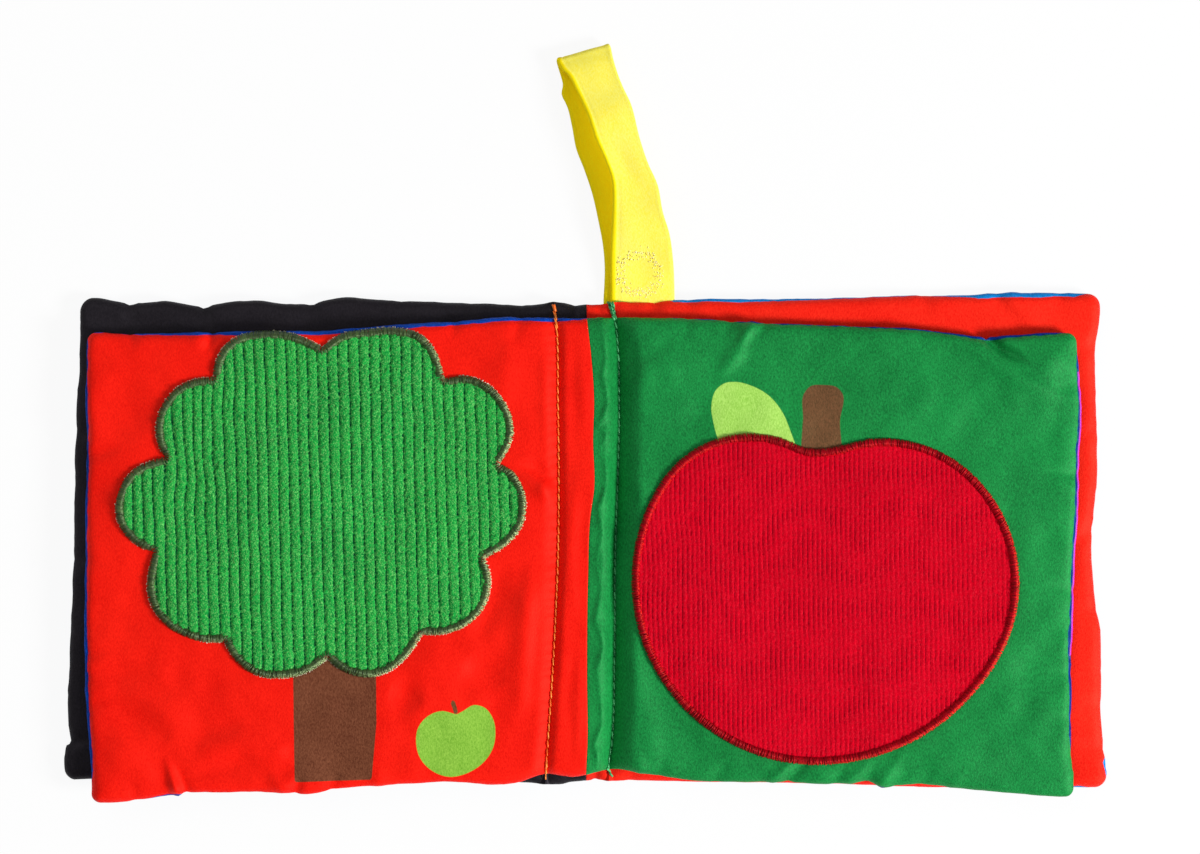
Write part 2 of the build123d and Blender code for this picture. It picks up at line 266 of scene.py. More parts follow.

# %% [markdown]
# ## Puckers and folds
# A stuffed bag shows where its cloth is held. Along the edge the seam gathers the cloth into
# short valleys that run inwards. Away from it lie long soft folds. They were found from the
# light on the book, one by one: each is a line with a height and a width. Some small
# regular ones are added where the sewing machine always leaves them, beside the stitches.

# %% Puckers of the pages
# Each row is the places of a line, its height and its half width. A pucker is full at its
# start and fades along the line, a fold fades at both ends. Measures are in millimetres.
page_puckers = [
    ((178, 795), (165, 756), 2.3, 1.7), ((186, 794), (176, 764), -1.2, 1.8),
    ((295, 794), (302, 772), -1.5, 2.0), ((281, 792), (268, 765), 0.9, 3.0),
    ((331, 790), (340, 770), -0.7, 2.0), ((380, 784), (378, 764), 0.6, 3.0),
    ((213, 331), (206, 354), -1.9, 1.8), ((198, 331), (196, 352), 0.7, 2.6),
    ((130, 332), (136, 350), -0.8, 2.2), ((455, 320), (450, 340), -0.9, 2.2),
    ((521, 317), (512, 345), -0.8, 2.4), ((90, 455), (122, 447), -0.9, 2.6),
    ((88, 560), (112, 566), -0.7, 2.6), ((87, 655), (112, 650), -0.6, 2.6),
    ((88, 705), (118, 693), -0.7, 3.0), ((135, 800), (130, 780), -0.6, 2.2),
    ((772, 783), (800, 752), 1.2, 2.2), ((788, 783), (812, 756), -1.5, 2.0),
    ((835, 783), (850, 760), -0.7, 2.0), ((851, 783), (871, 757), 0.8, 2.2),
    ((866, 785), (878, 764), -0.8, 2.0), ((895, 788), (910, 768), -0.6, 2.0),
    ((880, 788), (908, 742), 1.0, 2.6), ((920, 790), (935, 766), -0.8, 2.2),
    ((950, 790), (965, 770), 0.7, 2.4), ((716, 781), (730, 757), -0.6, 2.2),
    ((1072, 474), (1044, 470), -1.0, 2.2), ((1071, 590), (1045, 583), -0.8, 2.4),
    ((1075, 385), (1050, 392), -0.6, 2.6), ((1070, 675), (1048, 668), -0.7, 2.4),
    ((1068, 640), (1050, 634), 0.5, 2.0), ((1071, 720), (1050, 716), -0.5, 2.2),
    ((986, 338), (1008, 355), -2.6, 1.3), ((1003, 334), (1014, 352), 0.5, 2.6),
    ((752, 322), (737, 350), 1.6, 2.0), ((731, 321), (722, 343), -1.1, 2.2),
    ((766, 323), (757, 341), -0.8, 2.0), ((850, 326), (857, 344), -0.6, 2.2),
    ((905, 329), (917, 350), 0.6, 2.6), ((690, 319), (684, 338), -0.6, 2.2),
    ((640, 771), (637, 745), 0.8, 2.4), ((660, 778), (664, 754), -0.7, 2.4),
]
print(len(page_puckers), "puckers along the edges of the pages")

# %% Folds of the pages
page_folds = [
    ((652, 330), (652, 356), (646, 396), 0.7, 3.4), ((628, 322), (631, 350), 0.35, 1.8),
    ((674, 336), (652, 354), (628, 368), -0.8, 3.0), ((750, 326), (738, 352), (716, 378), 1.2, 2.6),
    ((630, 480), (640, 520), (632, 560), -0.5, 2.5), ((650, 470), (655, 540), 0.5, 3.0),
    ((978, 328), (1002, 349), (1030, 364), -2.6, 1.7),
    ((940, 328), (986, 357), (1016, 378), (1066, 398), 1.5, 3.0),
    ((1026, 342), (1072, 372), 0.9, 3.0), ((1066, 400), (1060, 500), 0.5, 3.0),
    ((530, 560), (520, 720), 1.2, 4.0), ((540, 590), (537, 740), -0.7, 3.0),
    ((507, 560), (478, 640), -1.2, 4.4), ((520, 455), (552, 505), 1.0, 3.2),
    ((516, 462), (536, 470), (556, 484), -1.5, 2.2), ((470, 655), (500, 690), -0.9, 5.0),
    ((640, 600), (700, 775), -0.8, 6.0), ((628, 640), (660, 772), 0.7, 4.0),
    ((630, 330), (634, 384), -0.7, 2.0), ((660, 322), (672, 390), 0.4, 4.0),
    ((640, 404), (700, 340), 0.4, 5.0), ((660, 440), (730, 395), -0.5, 6.0),
    ((110, 690), (170, 740), -0.7, 6.0), ((200, 745), (140, 700), 0.5, 6.0),
    ((240, 720), (270, 775), 0.5, 6.0), ((1010, 640), (1060, 700), -0.5, 7.0),
    ((900, 740), (1000, 770), 0.4, 7.0), ((100, 380), (150, 430), -0.5, 7.0),
    ((95, 500), (140, 500), 0.4, 5.0), ((1030, 560), (1060, 520), -0.5, 4.0),
    ((601, 318), (607, 358), (603, 376), (611, 400), (599, 426), (607, 434), (598, 452),
     0.72, 1.15),
    ((597, 446), (607, 466), (609, 484), (599, 508), (603, 534), (595, 566), 0.72, 1.15),
    ((595, 556), (602, 590), (596, 620), (606, 645), (597, 668), (600, 704), 0.72, 1.15),
    ((599, 690), (605, 722), (595, 745), (602, 772), 0.72, 1.15),
    ((601, 412), (600, 440), -0.3, 1.6), ((612, 440), (611, 470), -0.4, 1.4),
    ((608, 505), (607, 560), -0.3, 1.5), ((603, 570), (608, 620), -0.25, 1.5),
    ((596, 750), (606, 728), -0.6, 1.2), ((611, 745), (604, 765), 0.5, 1.2),
    ((84, 702), (124, 716), (172, 738), -1.0, 4.0), ((120, 684), (160, 706), (200, 730), 0.6, 5.0),
    ((90, 668), (128, 676), (170, 700), -0.9, 4.0), ((190, 776), (240, 762), (286, 778), -1.0, 3.6),
    ((196, 748), (240, 742), (290, 752), 0.9, 4.0), ((290, 744), (284, 784), -0.5, 3.0),
    ((388, 690), (424, 702), -0.9, 4.5), ((400, 660), (470, 668), 0.7, 4.5),
    ((92, 740), (130, 756), (160, 784), 0.8, 4.0), ((290, 770), (276, 740), 0.6, 4.0),
    ((508, 340), (500, 420), 0.6, 4.0), ((548, 340), (549, 470), 0.6, 2.2),
    ((540, 480), (552, 500), 0.6, 2.4), ((544, 620), (538, 760), 0.5, 2.4),
    ((640, 470), (642, 520), (634, 590), 0.6, 2.2), ((646, 640), (690, 740), 0.5, 4.0),
    ((572, 340), (574, 450), -0.25, 2.0), ((582, 330), (586, 440), 0.25, 2.0),
    ((576, 470), (570, 560), (576, 620), 0.3, 1.8), ((585, 480), (582, 560), -0.2, 1.8),
    ((574, 640), (568, 700), (572, 765), -0.25, 1.8), ((580, 650), (578, 760), 0.25, 1.6),
]
print(len(page_folds), "folds in the pages")

# %% Puckers of the cover
cover_puckers = [
    ((130, 301), (134, 330), -2.0, 2.4), ((205, 304), (209, 330), -2.2, 2.2),
    ((312, 301), (317, 326), -2.0, 2.0), ((168, 301), (170, 325), 0.8, 5.0),
    ((262, 300), (262, 325), 0.7, 6.0), ((400, 300), (402, 320), -0.8, 2.6),
    ((470, 302), (468, 320), -0.6, 2.6), ((530, 304), (533, 320), 0.5, 3.0),
    ((84, 330), (76, 300), 0.5, 3.0), ((70, 742), (96, 738), -1.2, 1.8),
    ((74, 560), (96, 552), -0.8, 2.6), ((76, 430), (98, 436), -0.7, 2.6),
    ((575, 305), (577, 322), -0.9, 1.6), ((585, 305), (586, 322), 0.5, 2.0),
    ((600, 304), (601, 322), -0.8, 1.6), ((640, 304), (641, 320), 0.5, 2.2),
    ((655, 304), (659, 320), -1.1, 1.8), ((690, 303), (694, 320), -0.6, 2.0),
    ((1098, 345), (1076, 350), -0.9, 2.6), ((1096, 430), (1078, 436), -0.7, 2.4),
    ((1093, 530), (1072, 545), -1.2, 3.0), ((1096, 610), (1076, 606), -0.9, 2.4),
    ((1101, 705), (1082, 700), -0.8, 2.6), ((1104, 748), (1078, 742), -1.1, 2.6),
    ((595, 781), (597, 766), -1.1, 1.6), ((606, 781), (605, 766), 0.6, 1.8),
    ((630, 781), (632, 768), -1.0, 1.6), ((570, 784), (568, 770), -0.7, 1.8),
    ((1060, 296), (1062, 318), -0.6, 3.0), ((925, 300), (930, 318), -0.6, 3.0),
    ((1014, 298), (1046, 336), 0.9, 2.2), ((998, 300), (1030, 338), -0.9, 2.6),
]
print(len(cover_puckers), "puckers along the edges of the cover")


# %% What puckers and folds do to the cloth
def relief(points, puckers, folds, height):
    """Height that the puckers and folds add to the cloth at these points."""
    total = np.zeros(len(points))
    for number, (*dots, tall, wide) in enumerate(puckers + folds):
        line = on_book(dots, height)
        margin = 3 * wide * mm
        close = ((points > line.min(0) - margin) & (points < line.max(0) + margin)).all(1)
        if not close.any():
            continue
        gap, along = from_line(points[close], line)
        fade = 1 - along if number < len(puckers) else np.sin(np.pi * along)
        reach = wide * mm * (0.45 + 0.55 * fade)
        total[close] += tall * mm * fade * np.exp(-((gap / reach) ** 2))
    return total


# Where the puckers of each edge start: the axis to look at, from, to, and the seed of its waves.
near_head, near_tail = 345, 765
edge_ranges = {
    "head": (1, 0, near_head, 61), "tail": (1, near_tail, 900, 62),
    "left": (0, 0, 110, 63), "right": (0, 1060, 1200, 64),
}


def drawn_in(kind, edge, at):
    """How far the seam is drawn inwards at places along an edge: a notch at every pucker."""
    puckers, height = {
        "cover": (cover_puckers, cover_rim_height), "pages": (page_puckers, page_rim_height),
    }[kind]
    axis, low, high, seed = edge_ranges[edge]
    spots = np.stack([at.ravel(), np.full(at.size, 0.01 * len(kind))], 1)
    total = 0.035 * mm * waves(spots, 0.0035, seed) + 0.07 * mm * waves(spots, 0.011, seed + 9)
    for start, end, tall, wide in puckers:
        at_corner = axis == 0 and not near_head < start[1] < near_tail
        if low < start[axis] < high and not at_corner:
            spot = on_book([start], height)[0][1 - axis]
            total -= 0.32 * tall * mm * np.exp(-(((at.ravel() - spot) / (0.6 * wide * mm)) ** 2))
    return total.reshape(at.shape)


deepest = on_book([page_puckers[6][0]], page_rim_height)[:, 0]
print("a deep pucker moves the seam by", (drawn_in("pages", "head", deepest) / mm).round(2), "mm")

# %% [markdown]
# ## From lines to a stuffed panel
# Each half panel is a closed mesh with a top and an underside that meet in the edge seam.
# Away from the seam the cloth rises like a quarter round and then swells on gently, as
# batting does. At the stitch line it comes down at about 45 degrees to a crease. A drape
# simulation would give such a swell as well, but not these very folds, so the surface is
# written down as a function of place. The patches can then ask it how high the page is.

# %% Measures of the two bags
page_bottom = 5.85 * mm
page_half, page_round, page_swell = 2.55 * mm, 2.25 * mm, 1.1 * mm
cover_full_top, cover_seam, cover_give = 5.45 * mm, 2.7 * mm, 0.25 * mm
edge_round = 3.4 * mm
pinch_widths = {"cover": (7.5 * mm, 5.5 * mm), "pages": (7.0 * mm, 4.2 * mm)}
left_crease, left_narrow = 0.6, 0.72  # the left stitches hold the cloth down less
swell_reach = 0.016  # how far in from its edge a bag is nearly full
page_crease, cover_crease = 0.04, 0.1  # share of their height that both keep at the stitches
page_fold_level, cover_fold_level = 11 * mm, 5 * mm
page_full = page_bottom + page_half + page_round + page_swell
print("the pages swell to", round(page_full / mm, 1), "mm above the table")


# %% How seams and stitches hold the cloth
def rounded(depth, radius):
    """Quarter-round rise of the cloth from its edge seam, 0 to 1."""
    q = np.clip(depth / radius, 0, 1)
    return np.sqrt(1 - (1 - q) ** 2)


def at_least(least, share):
    """The share, kept from falling below a least value, in even proportion."""
    return least + (1 - least) * share


def pinch(points, kind, left_hold=0.0):
    """0 on a stitch line and 1 away from it, and the distance from the nearer stitch line."""
    lines, (leaf_width, strip_width) = panel_lines[kind], pinch_widths[kind]
    right = flowing(lines["right_stitches"], points[:, 1])
    left = flowing(lines["left_stitches"], points[:, 1])
    gap = np.minimum(np.abs(points[:, 0] - right), np.abs(points[:, 0] - left))
    in_strip = (points[:, 0] < right) & (points[:, 0] > left)
    on_left = points[:, 0] < 0
    reach = np.where(in_strip, strip_width, leaf_width) * np.where(on_left, left_narrow, 1.0)
    share = np.clip(gap / reach, 0, 1)
    # the right leaf rises from its stitches as a nearly flat bank, the others in a round
    bank = (points[:, 0] > 0) & ~in_strip
    open_way = np.where(bank, 1 - (1 - share) ** 1.45, np.sin(share * np.pi / 2))
    return at_least(np.where(on_left, left_hold, 0.0), open_way), gap


def stitch_ripple(points, gap):
    """Small dimples that every stitch pulls into the cloth beside it."""
    tall, pitch, reach = 0.16 * mm, 0.0031, 0.0024
    along = points[:, 1] + 0.0006 * waves(points, 0.012, 5)
    return tall * np.sin(2 * np.pi * along / pitch) * np.exp(-((gap / reach) ** 2))


beside_right = np.array([[14 * mm, 0.0]])
print("share of its height beside the stitches:", pinch(beside_right, "pages")[0].round(2))


# %% Heights of the pages and of the cover
def page_top(points, rim):
    """Height of the front of the pages."""
    depth = np.maximum(depth_inside(points, rim), 0)
    open_way, gap = pinch(points, "pages", left_crease)
    swell = 1 - np.exp(-depth / swell_reach)
    rise = page_half + page_round * rounded(depth, edge_round) + page_swell * swell
    folds = relief(points, page_puckers, page_folds, page_fold_level)
    lumps, ripples = 0.22 * mm * waves(points, 0.03, 3), 0.07 * mm * waves(points, 0.009, 4)
    soft = rounded(depth, edge_round) * np.clip((open_way - 0.1) / 0.9, 0, 1)
    full = rise * at_least(page_crease, open_way) + (folds + (lumps + ripples)) * soft
    return page_bottom + full + stitch_ripple(points, gap) * rounded(depth, 2 * mm)


def page_underside(points, rim):
    """Height of the back of the pages, which lies on the cover."""
    depth = np.maximum(depth_inside(points, rim), 0)
    open_way, gap = pinch(points, "pages")
    rise = page_half * (1 - rounded(depth, edge_round))
    return page_bottom + rise * at_least(page_crease, open_way)


def cover_middle(points, rim):
    """Depth inside the cover, its pinch, the stitch distance and the level of its edge seam."""
    depth = np.maximum(depth_inside(points, rim), 0)
    open_way, gap = pinch(points, "cover")
    seam = cover_full_top - (cover_full_top - cover_seam) * at_least(cover_crease, open_way)
    return depth, open_way, gap, seam


def cover_top(points, rim):
    """Height of the inner face of the cover. Only its edges show around the pages."""
    depth, open_way, gap, seam = cover_middle(points, rim)
    rise = (cover_full_top - seam) * rounded(depth, edge_round)
    folds = relief(points, cover_puckers, [], cover_fold_level)
    folds += 0.12 * mm * waves(points, 0.02, 8)
    # near the head and the tail the stitches pull the inner cloth down in a narrow valley
    pull, pull_width, pull_length = 0.9 * mm, 0.0018, 0.006
    held = pull * np.exp(-((gap / pull_width) ** 2)) * np.exp(-depth / pull_length)
    down = np.minimum(folds * rounded(depth, edge_round), cover_give)
    surface = np.minimum(seam + rise + down - held, cover_full_top + cover_give)
    return np.maximum(surface, cover_under(points, rim) + 0.3 * mm * rounded(depth, 0.6 * mm))


def cover_under(points, rim):
    """Height of the outer face of the cover, which lies on the table."""
    depth, open_way, gap, seam = cover_middle(points, rim)
    low = (cover_full_top - 0.5 * mm) * (1 - open_way)
    return seam + (low - seam) * rounded(depth, edge_round)


print("the cover is", round(cover_full_top / mm, 2), "mm thick under the pages")

# %% [markdown]
# ## The mesh of a half panel
# A plain grid would cut across the edges, so the grid is stretched between them: its rows run
# from tail to head and its columns from the colour join over the stitch line to the fore
# edge. Rows and columns crowd together at the edges and at the stitches, where the cloth
# turns quickly, and stay apart in the middle, where it is nearly flat.


# %% Stretched grid
def crowded(length, step, both_ends):
    """Places from 0 to 1 that stand close together at the end, or at both ends."""
    fine = np.array([0, 0.12, 0.35, 0.7, 1.1, 1.6, 2.2, 2.9, 3.8]) * mm
    start = fine if both_ends else np.array([0.0])
    middle = np.linspace(start[-1], length - fine[-1], max(3, int(length / step)))[1:-1]
    return np.r_[start, middle, length - fine[::-1]] / length


panel_tall, panel_foot = 0.145, -0.07
leaf_wide, half_strip, strip_step = 0.1415, 0.0088, 0.7 * mm
# shares of the leaf where its first columns stand, close together as far as the last share
beside_stitches, last_share = np.array([0.35, 0.8, 1.4, 2.2, 3.2]) / 141.5, 0.026


def panel_grid(kind, side, step):
    """Places of the grid of one half panel, as two arrays of rows and columns."""
    lines, corner = panel_lines[kind], corner_round[kind]
    rows = crowded(panel_tall, step, True)
    leaf = crowded(leaf_wide, step, False)
    leaf = np.unique(np.r_[leaf[leaf < 1e-9], beside_stitches, leaf[leaf > last_share]])
    strip = crowded(half_strip, strip_step, False)
    height = rows[:, None] * np.ones(len(strip) + len(leaf) - 1)
    y = panel_foot + panel_tall * height
    fore_name = "left" if side < 0 else "right"
    # every column bends with its row and every row with its column, so this is done in rounds
    for _ in range(4):
        join = flowing(lines["join"], y)
        stitch = flowing(lines[f"{fore_name}_stitches"], y)
        fore = flowing(lines[fore_name], y) - side * drawn_in(kind, fore_name, y)
        inner = join[:, : len(strip)] + (stitch - join)[:, : len(strip)] * strip
        outer = stitch[:, len(strip) :] + (fore - stitch)[:, len(strip) :] * leaf[1:]
        x = np.concatenate([inner, outer], 1)
        drops = []
        for row in (0, -1):
            reach = np.abs(fore[row, -1]) - corner
            past = np.clip(np.abs(x) - reach, 0, corner)
            drops.append(corner - np.sqrt(np.maximum(corner**2 - past**2, 0)))
        tail = flowing(lines["tail"], x) + drawn_in(kind, "tail", x) + drops[0]
        head = flowing(lines["head"], x) - drawn_in(kind, "head", x) - drops[1]
        y = tail + (head - tail) * height
    return x, y


print("a coarse page has", panel_grid("pages", 1, 1.6 * mm)[0].shape, "rows and columns")


# %% Closed mesh
def closed_mesh(name, x, y, top, underside):
    """A closed mesh from a grid with two heights, which meet in the edge seam."""
    rows, columns = x.shape
    count = rows * columns
    grid = np.arange(count).reshape(rows, columns)
    upper = np.stack([
        grid[:-1, :-1].ravel(), grid[:-1, 1:].ravel(), grid[1:, 1:].ravel(), grid[1:, :-1].ravel(),
    ], 1)
    lower = upper[:, ::-1] + count
    wall = np.stack([grid[:-1, 0], grid[1:, 0], grid[1:, 0] + count, grid[:-1, 0] + count], 1)
    if x[0, -1] < x[0, 0]:
        upper, lower, wall = upper[:, ::-1], lower[:, ::-1], wall[:, ::-1]
    places = np.concatenate(
        [np.stack([x.ravel(), y.ravel(), z.ravel()], 1) for z in (top, underside)]
    )
    mesh = bpy.data.meshes.new(name)
    mesh.from_pydata(places.tolist(), [], np.concatenate([upper, lower, wall]).tolist())
    return mesh


def place(mesh):
    """Puts a mesh into the scene as an object of the same name."""
    piece = bpy.data.objects.new(mesh.name, mesh)
    bpy.context.scene.collection.objects.link(piece)
    return piece


def store(mesh, attribute, values):
    """Stores one value on every point of a mesh, for a material to read."""
    stored = mesh.attributes.new(attribute, "FLOAT", "POINT")
    stored.data.foreach_set("value", values.astype(np.float32))


def smooth(mesh):
    """Smooths the shading of every face."""
    mesh.polygons.foreach_set("use_smooth", np.ones(len(mesh.polygons), bool))


def weld(mesh):
    """Joins the two sides where they meet."""
    work = bmesh.new()
    work.from_mesh(mesh)
    bmesh.ops.remove_doubles(work, verts=work.verts, dist=2e-6)
    work.to_mesh(mesh)
    work.free()


def rim_of(kind):
    """Closed outline of a whole panel, from the grids of its two halves."""
    halves = []
    for side in (-1, 1):
        x, y = panel_grid(kind, side, 1.6 * mm)
        halves.append((np.c_[x[0], y[0]], np.c_[x[:, -1], y[:, -1]], np.c_[x[-1], y[-1]]))
    left, right = halves  # each as its tail, its fore edge and its head
    return np.concatenate([
        left[0][::-1][:-1], right[0][:-1], right[1][:-1], right[2][::-1][:-1],
        left[2][:-1], left[1][::-1][:-1],
    ])


rims = {kind: rim_of(kind) for kind in ("cover", "pages")}
print("rim points:", {kind: len(rim) for kind, rim in rims.items()})

# %% [markdown]
# ## Satin
# The cloth of both bags is one kind: a smooth polyester satin, printed or dyed in one strong
# colour. Close to, it has a fine thread grain, and from further away a soft sheen that shifts
# over the folds. A noise stretched along the threads mixes a slightly darker and a slightly
# lighter tone and also drives a very small bump. The sheen and the roughness are the same all
# over and are set on the shader itself.


# %% Shader nodes and colours
def add_node(tree, kind, inputs=None, **settings):
    """A new shader node with its settings and the values of its inputs."""
    node = tree.nodes.new("ShaderNode" + kind)
    for setting, value in settings.items():
        setattr(node, setting, value)
    for socket, value in (inputs or {}).items():
        node.inputs[socket].default_value = value
    return node


def wire(tree, *links):
    """Links nodes. Each link is given as a node, its output, the next node and its input."""
    for source, output, target, socket in links:
        tree.links.new(source.outputs[output], target.inputs[socket])


def paint(red, green, blue):
    """A colour given as it looks on screen, 0 to 255, in the shader's linear values."""
    tone = np.array([red, green, blue]) / 255
    return (*np.where(tone <= 0.04045, tone / 12.92, ((tone + 0.055) / 1.055) ** 2.4), 1.0)


print("paint turns 128 of 255 into", round(float(paint(128, 128, 128)[0]), 3))


# %% Cloth finish
def satin(name, dark, light, roughness=0.5, gloss=0.3, sheen=0.0, bump=0.3, thread=2300.0,
          reflection=None):
    """A cloth with a fine grain of threads between two tones."""
    material = bpy.data.materials.new(name)
    material.use_nodes = True
    tree = material.node_tree
    shader = tree.nodes["Principled BSDF"]
    own_tint = (*(0.25 + 0.75 * np.array(light[:3]) / max(light[:3])), 1.0)
    for socket, value in (
        ("Roughness", roughness), ("Specular IOR Level", gloss),
        ("Specular Tint", reflection or own_tint),
        ("Sheen Weight", sheen), ("Sheen Roughness", 0.45), ("Sheen Tint", own_tint),
    ):
        shader.inputs[socket].default_value = value
    place_on = add_node(tree, "TexCoord")
    stretch = add_node(tree, "Mapping", {"Scale": (1.0, 0.55, 1.0), "Rotation": (0.0, 0.0, 0.6)})
    grain = add_node(tree, "TexNoise", {"Scale": thread, "Detail": 3.0, "Roughness": 0.65})
    cloud = add_node(tree, "TexNoise", {"Scale": 60.0, "Detail": 2.0})
    spread = add_node(tree, "MapRange", {"From Min": 0.34, "From Max": 0.66})
    mostly_grain = add_node(tree, "Math", {1: 0.75}, operation="MULTIPLY_ADD")
    some_cloud = add_node(tree, "Math", {1: 0.25}, operation="MULTIPLY")
    tone = add_node(tree, "Mix", {"A": dark, "B": light}, data_type="RGBA")
    weave = add_node(tree, "Bump", {"Strength": bump, "Distance": 0.0004})
    wire(
        tree,
        (place_on, "Object", stretch, "Vector"), (stretch, "Vector", grain, "Vector"),
        (place_on, "Object", cloud, "Vector"), (cloud, "Fac", some_cloud, 0),
        (grain, "Fac", mostly_grain, 0), (some_cloud, "Value", mostly_grain, 2),
        (mostly_grain, "Value", spread, "Value"), (spread, "Result", tone, "Factor"),
        (tone, "Result", shader, "Base Color"),
        (grain, "Fac", weave, "Height"), (weave, "Normal", shader, "Normal"),
    )
    return material


red_glint, green_glint = (1.0, 0.34, 0.22, 1.0), (0.28, 1.0, 0.42, 1.0)
back_satins = {
    ("pages", -1): satin("blue_satin_back", paint(0, 42, 128), paint(2, 76, 188), 0.6, 0.3),
    ("pages", 1): satin("dark_blue_satin_back", paint(2, 26, 92), paint(8, 50, 142), 0.6, 0.3),
    ("cover", -1): satin("azure_satin_back", paint(0, 104, 186), paint(6, 142, 222), 0.6, 0.3),
}
back_satins["cover", 1] = back_satins["cover", -1]
red_page = satin(
    "red_satin_page", paint(226, 4, 0), paint(255, 28, 12), 0.6, 0.35, reflection=red_glint
)
green_page = satin(
    "green_satin_page", paint(0, 92, 38), paint(21, 146, 67), 0.58, 0.5, reflection=green_glint
)
black_cover = satin("black_satin", paint(8, 7, 10), paint(30, 27, 31), 0.5, 0.2)
red_cover = satin(
    "red_satin_cover", paint(230, 12, 3), paint(255, 42, 23), 0.6, 0.35, reflection=red_glint
)
print("satins:", [cloth.name for cloth in (red_page, green_page, black_cover, red_cover)])

# %% [markdown]
# ## Printed pictures on the satin
# The trunk, the small green apple, the apple's leaf and its stalk are printed on the cloth.
# Painting them by hand on an image would tie them to one size, so each is an outline. The
# distance from that outline is stored on every point of the page, and the material changes
# its ink where the distance passes zero. That gives a clean edge at any size.

# %% Outlines of the printed shapes
print_height = 11.5 * mm
trunk = on_book(
    [(293, 660), (376, 660), (376.5, 723), (371.5, 780), (294.5, 782.5)], print_height
)
small_apple = through(on_book([
    (456.5, 714.5), (463, 711), (474, 705), (485, 708), (493, 719), (495.4, 735), (493, 748),
    (484, 762), (470, 772), (447.7, 777), (432, 771), (420, 758), (416, 742), (418, 728),
    (428, 716), (444, 711), (450, 712.5), (456.5, 714.5),
], print_height), 0.4 * mm)
small_stalk = on_book([(450, 701), (454.5, 700), (458.5, 713), (454.5, 714.5)], print_height)
leaf_shape = through(on_book([
    (722, 452), (714, 425), (711.5, 405), (716, 390), (724, 383.5), (736, 382), (752, 386),
    (768, 395), (781, 410), (790, 430), (796, 455), (760, 470), (722, 452),
], print_height), 0.4 * mm)
apple_stalk = through(on_book([
    (800, 462), (803, 420), (805, 392), (810, 386.5), (823, 385), (837, 387.5), (841.5, 392),
    (840, 420), (836, 462), (818, 466), (800, 462),
], print_height), 0.4 * mm)

prints = {
    "left": {"trunk": trunk, "small_stalk": small_stalk, "small_apple": small_apple},
    "right": {"leaf_shape": leaf_shape, "apple_stalk": apple_stalk},
}
print("outlines of", sum(len(page) for page in prints.values()), "shapes")


# %% Print the shapes
def printed(material, attribute, dark, light, soft=0.12 * mm):
    """Prints a shape in another colour where a value stored on the mesh is above zero."""
    tree = material.node_tree
    shader = tree.nodes["Principled BSDF"]
    below = shader.inputs["Base Color"].links[0].from_node
    stored = add_node(tree, "Attribute", attribute_name=attribute)
    edge = add_node(tree, "MapRange", {"From Min": -soft, "From Max": soft}, label=attribute)
    ink = add_node(tree, "Mix", {"A": dark, "B": light}, data_type="RGBA")
    over = add_node(tree, "Mix", data_type="RGBA")
    wire(
        tree,
        (stored, "Fac", edge, "Value"), (edge, "Result", over, "Factor"),
        (tree.nodes["Map Range"], "Result", ink, "Factor"),
        (below, "Result", over, "A"), (ink, "Result", over, "B"),
        (over, "Result", shader, "Base Color"),
    )


printed(red_page, "trunk", paint(84, 42, 26), paint(126, 76, 52))
printed(red_page, "small_stalk", paint(80, 52, 28), paint(116, 80, 46))
printed(red_page, "small_apple", paint(104, 168, 44), paint(150, 204, 76))
printed(green_page, "leaf_shape", paint(142, 196, 70), paint(184, 230, 110))
printed(green_page, "apple_stalk", paint(84, 44, 28), paint(124, 72, 48))
print("printed:", [shape for page in prints.values() for shape in page])

# %% [markdown]
# ## The back cloth that rolls over the edge
# The back of the pages is blue and the outside of the cover light blue. Sewn bags never turn
# exactly on their seam, so here and there a strip of the back cloth rolls over to the front.
# How far is written down along each edge. The seam itself is a small groove.

# %% Where the back cloth shows
# along the edge, and how far the seam has rolled to the front, in millimetres
page_roll = {
    "left": [
        (290, 0.1), (350, 0.3), (390, 0.6), (570, 0.8), (650, 1.0), (740, 0.9), (770, 0.6),
        (785, -0.2), (810, -0.8),
    ],
    "right": [
        (290, 0.1), (345, 0.2), (380, 0.9), (500, 1.2), (600, 1.1), (640, 1.2), (700, 0.9),
        (740, 0.3), (800, -0.5),
    ],
    "head": [
        (80, -0.3), (140, 0.2), (190, 0.9), (260, 1.3), (335, 1.2), (420, 1.2), (560, 1.2),
        (583, 0.3), (600, -0.5), (680, 0.0), (800, 0.3), (945, 0.4), (985, 1.1), (1004, 0.7),
        (1050, 0.6), (1066, -0.3), (1080, -0.6),
    ],
    "tail": [(80, -1.0), (150, 0.0), (180, 0.1), (200, -0.8), (1080, -1.0)],
}
cover_roll = {
    "left": [(290, -1.0), (800, -1.0)],
    "right": [(290, 0.6), (310, -0.6), (750, -0.8), (762, 0.8), (775, 0.2), (800, -0.4)],
    "head": [
        (60, -1.0), (660, -1.0), (674, 0.7), (740, 1.0), (800, 0.6), (860, 0.1), (930, 0.1),
        (958, 0.5), (985, 1.5), (1040, 1.3), (1075, 1.1), (1088, -0.3), (1110, -0.8),
    ],
    "tail": [(60, -1.0), (1060, -1.0), (1076, 0.6), (1092, -0.4), (1110, -0.8)],
}
furthest = max(far for line in (*page_roll.values(), *cover_roll.values()) for at, far in line)
print("the back cloth rolls over by up to", furthest, "mm")


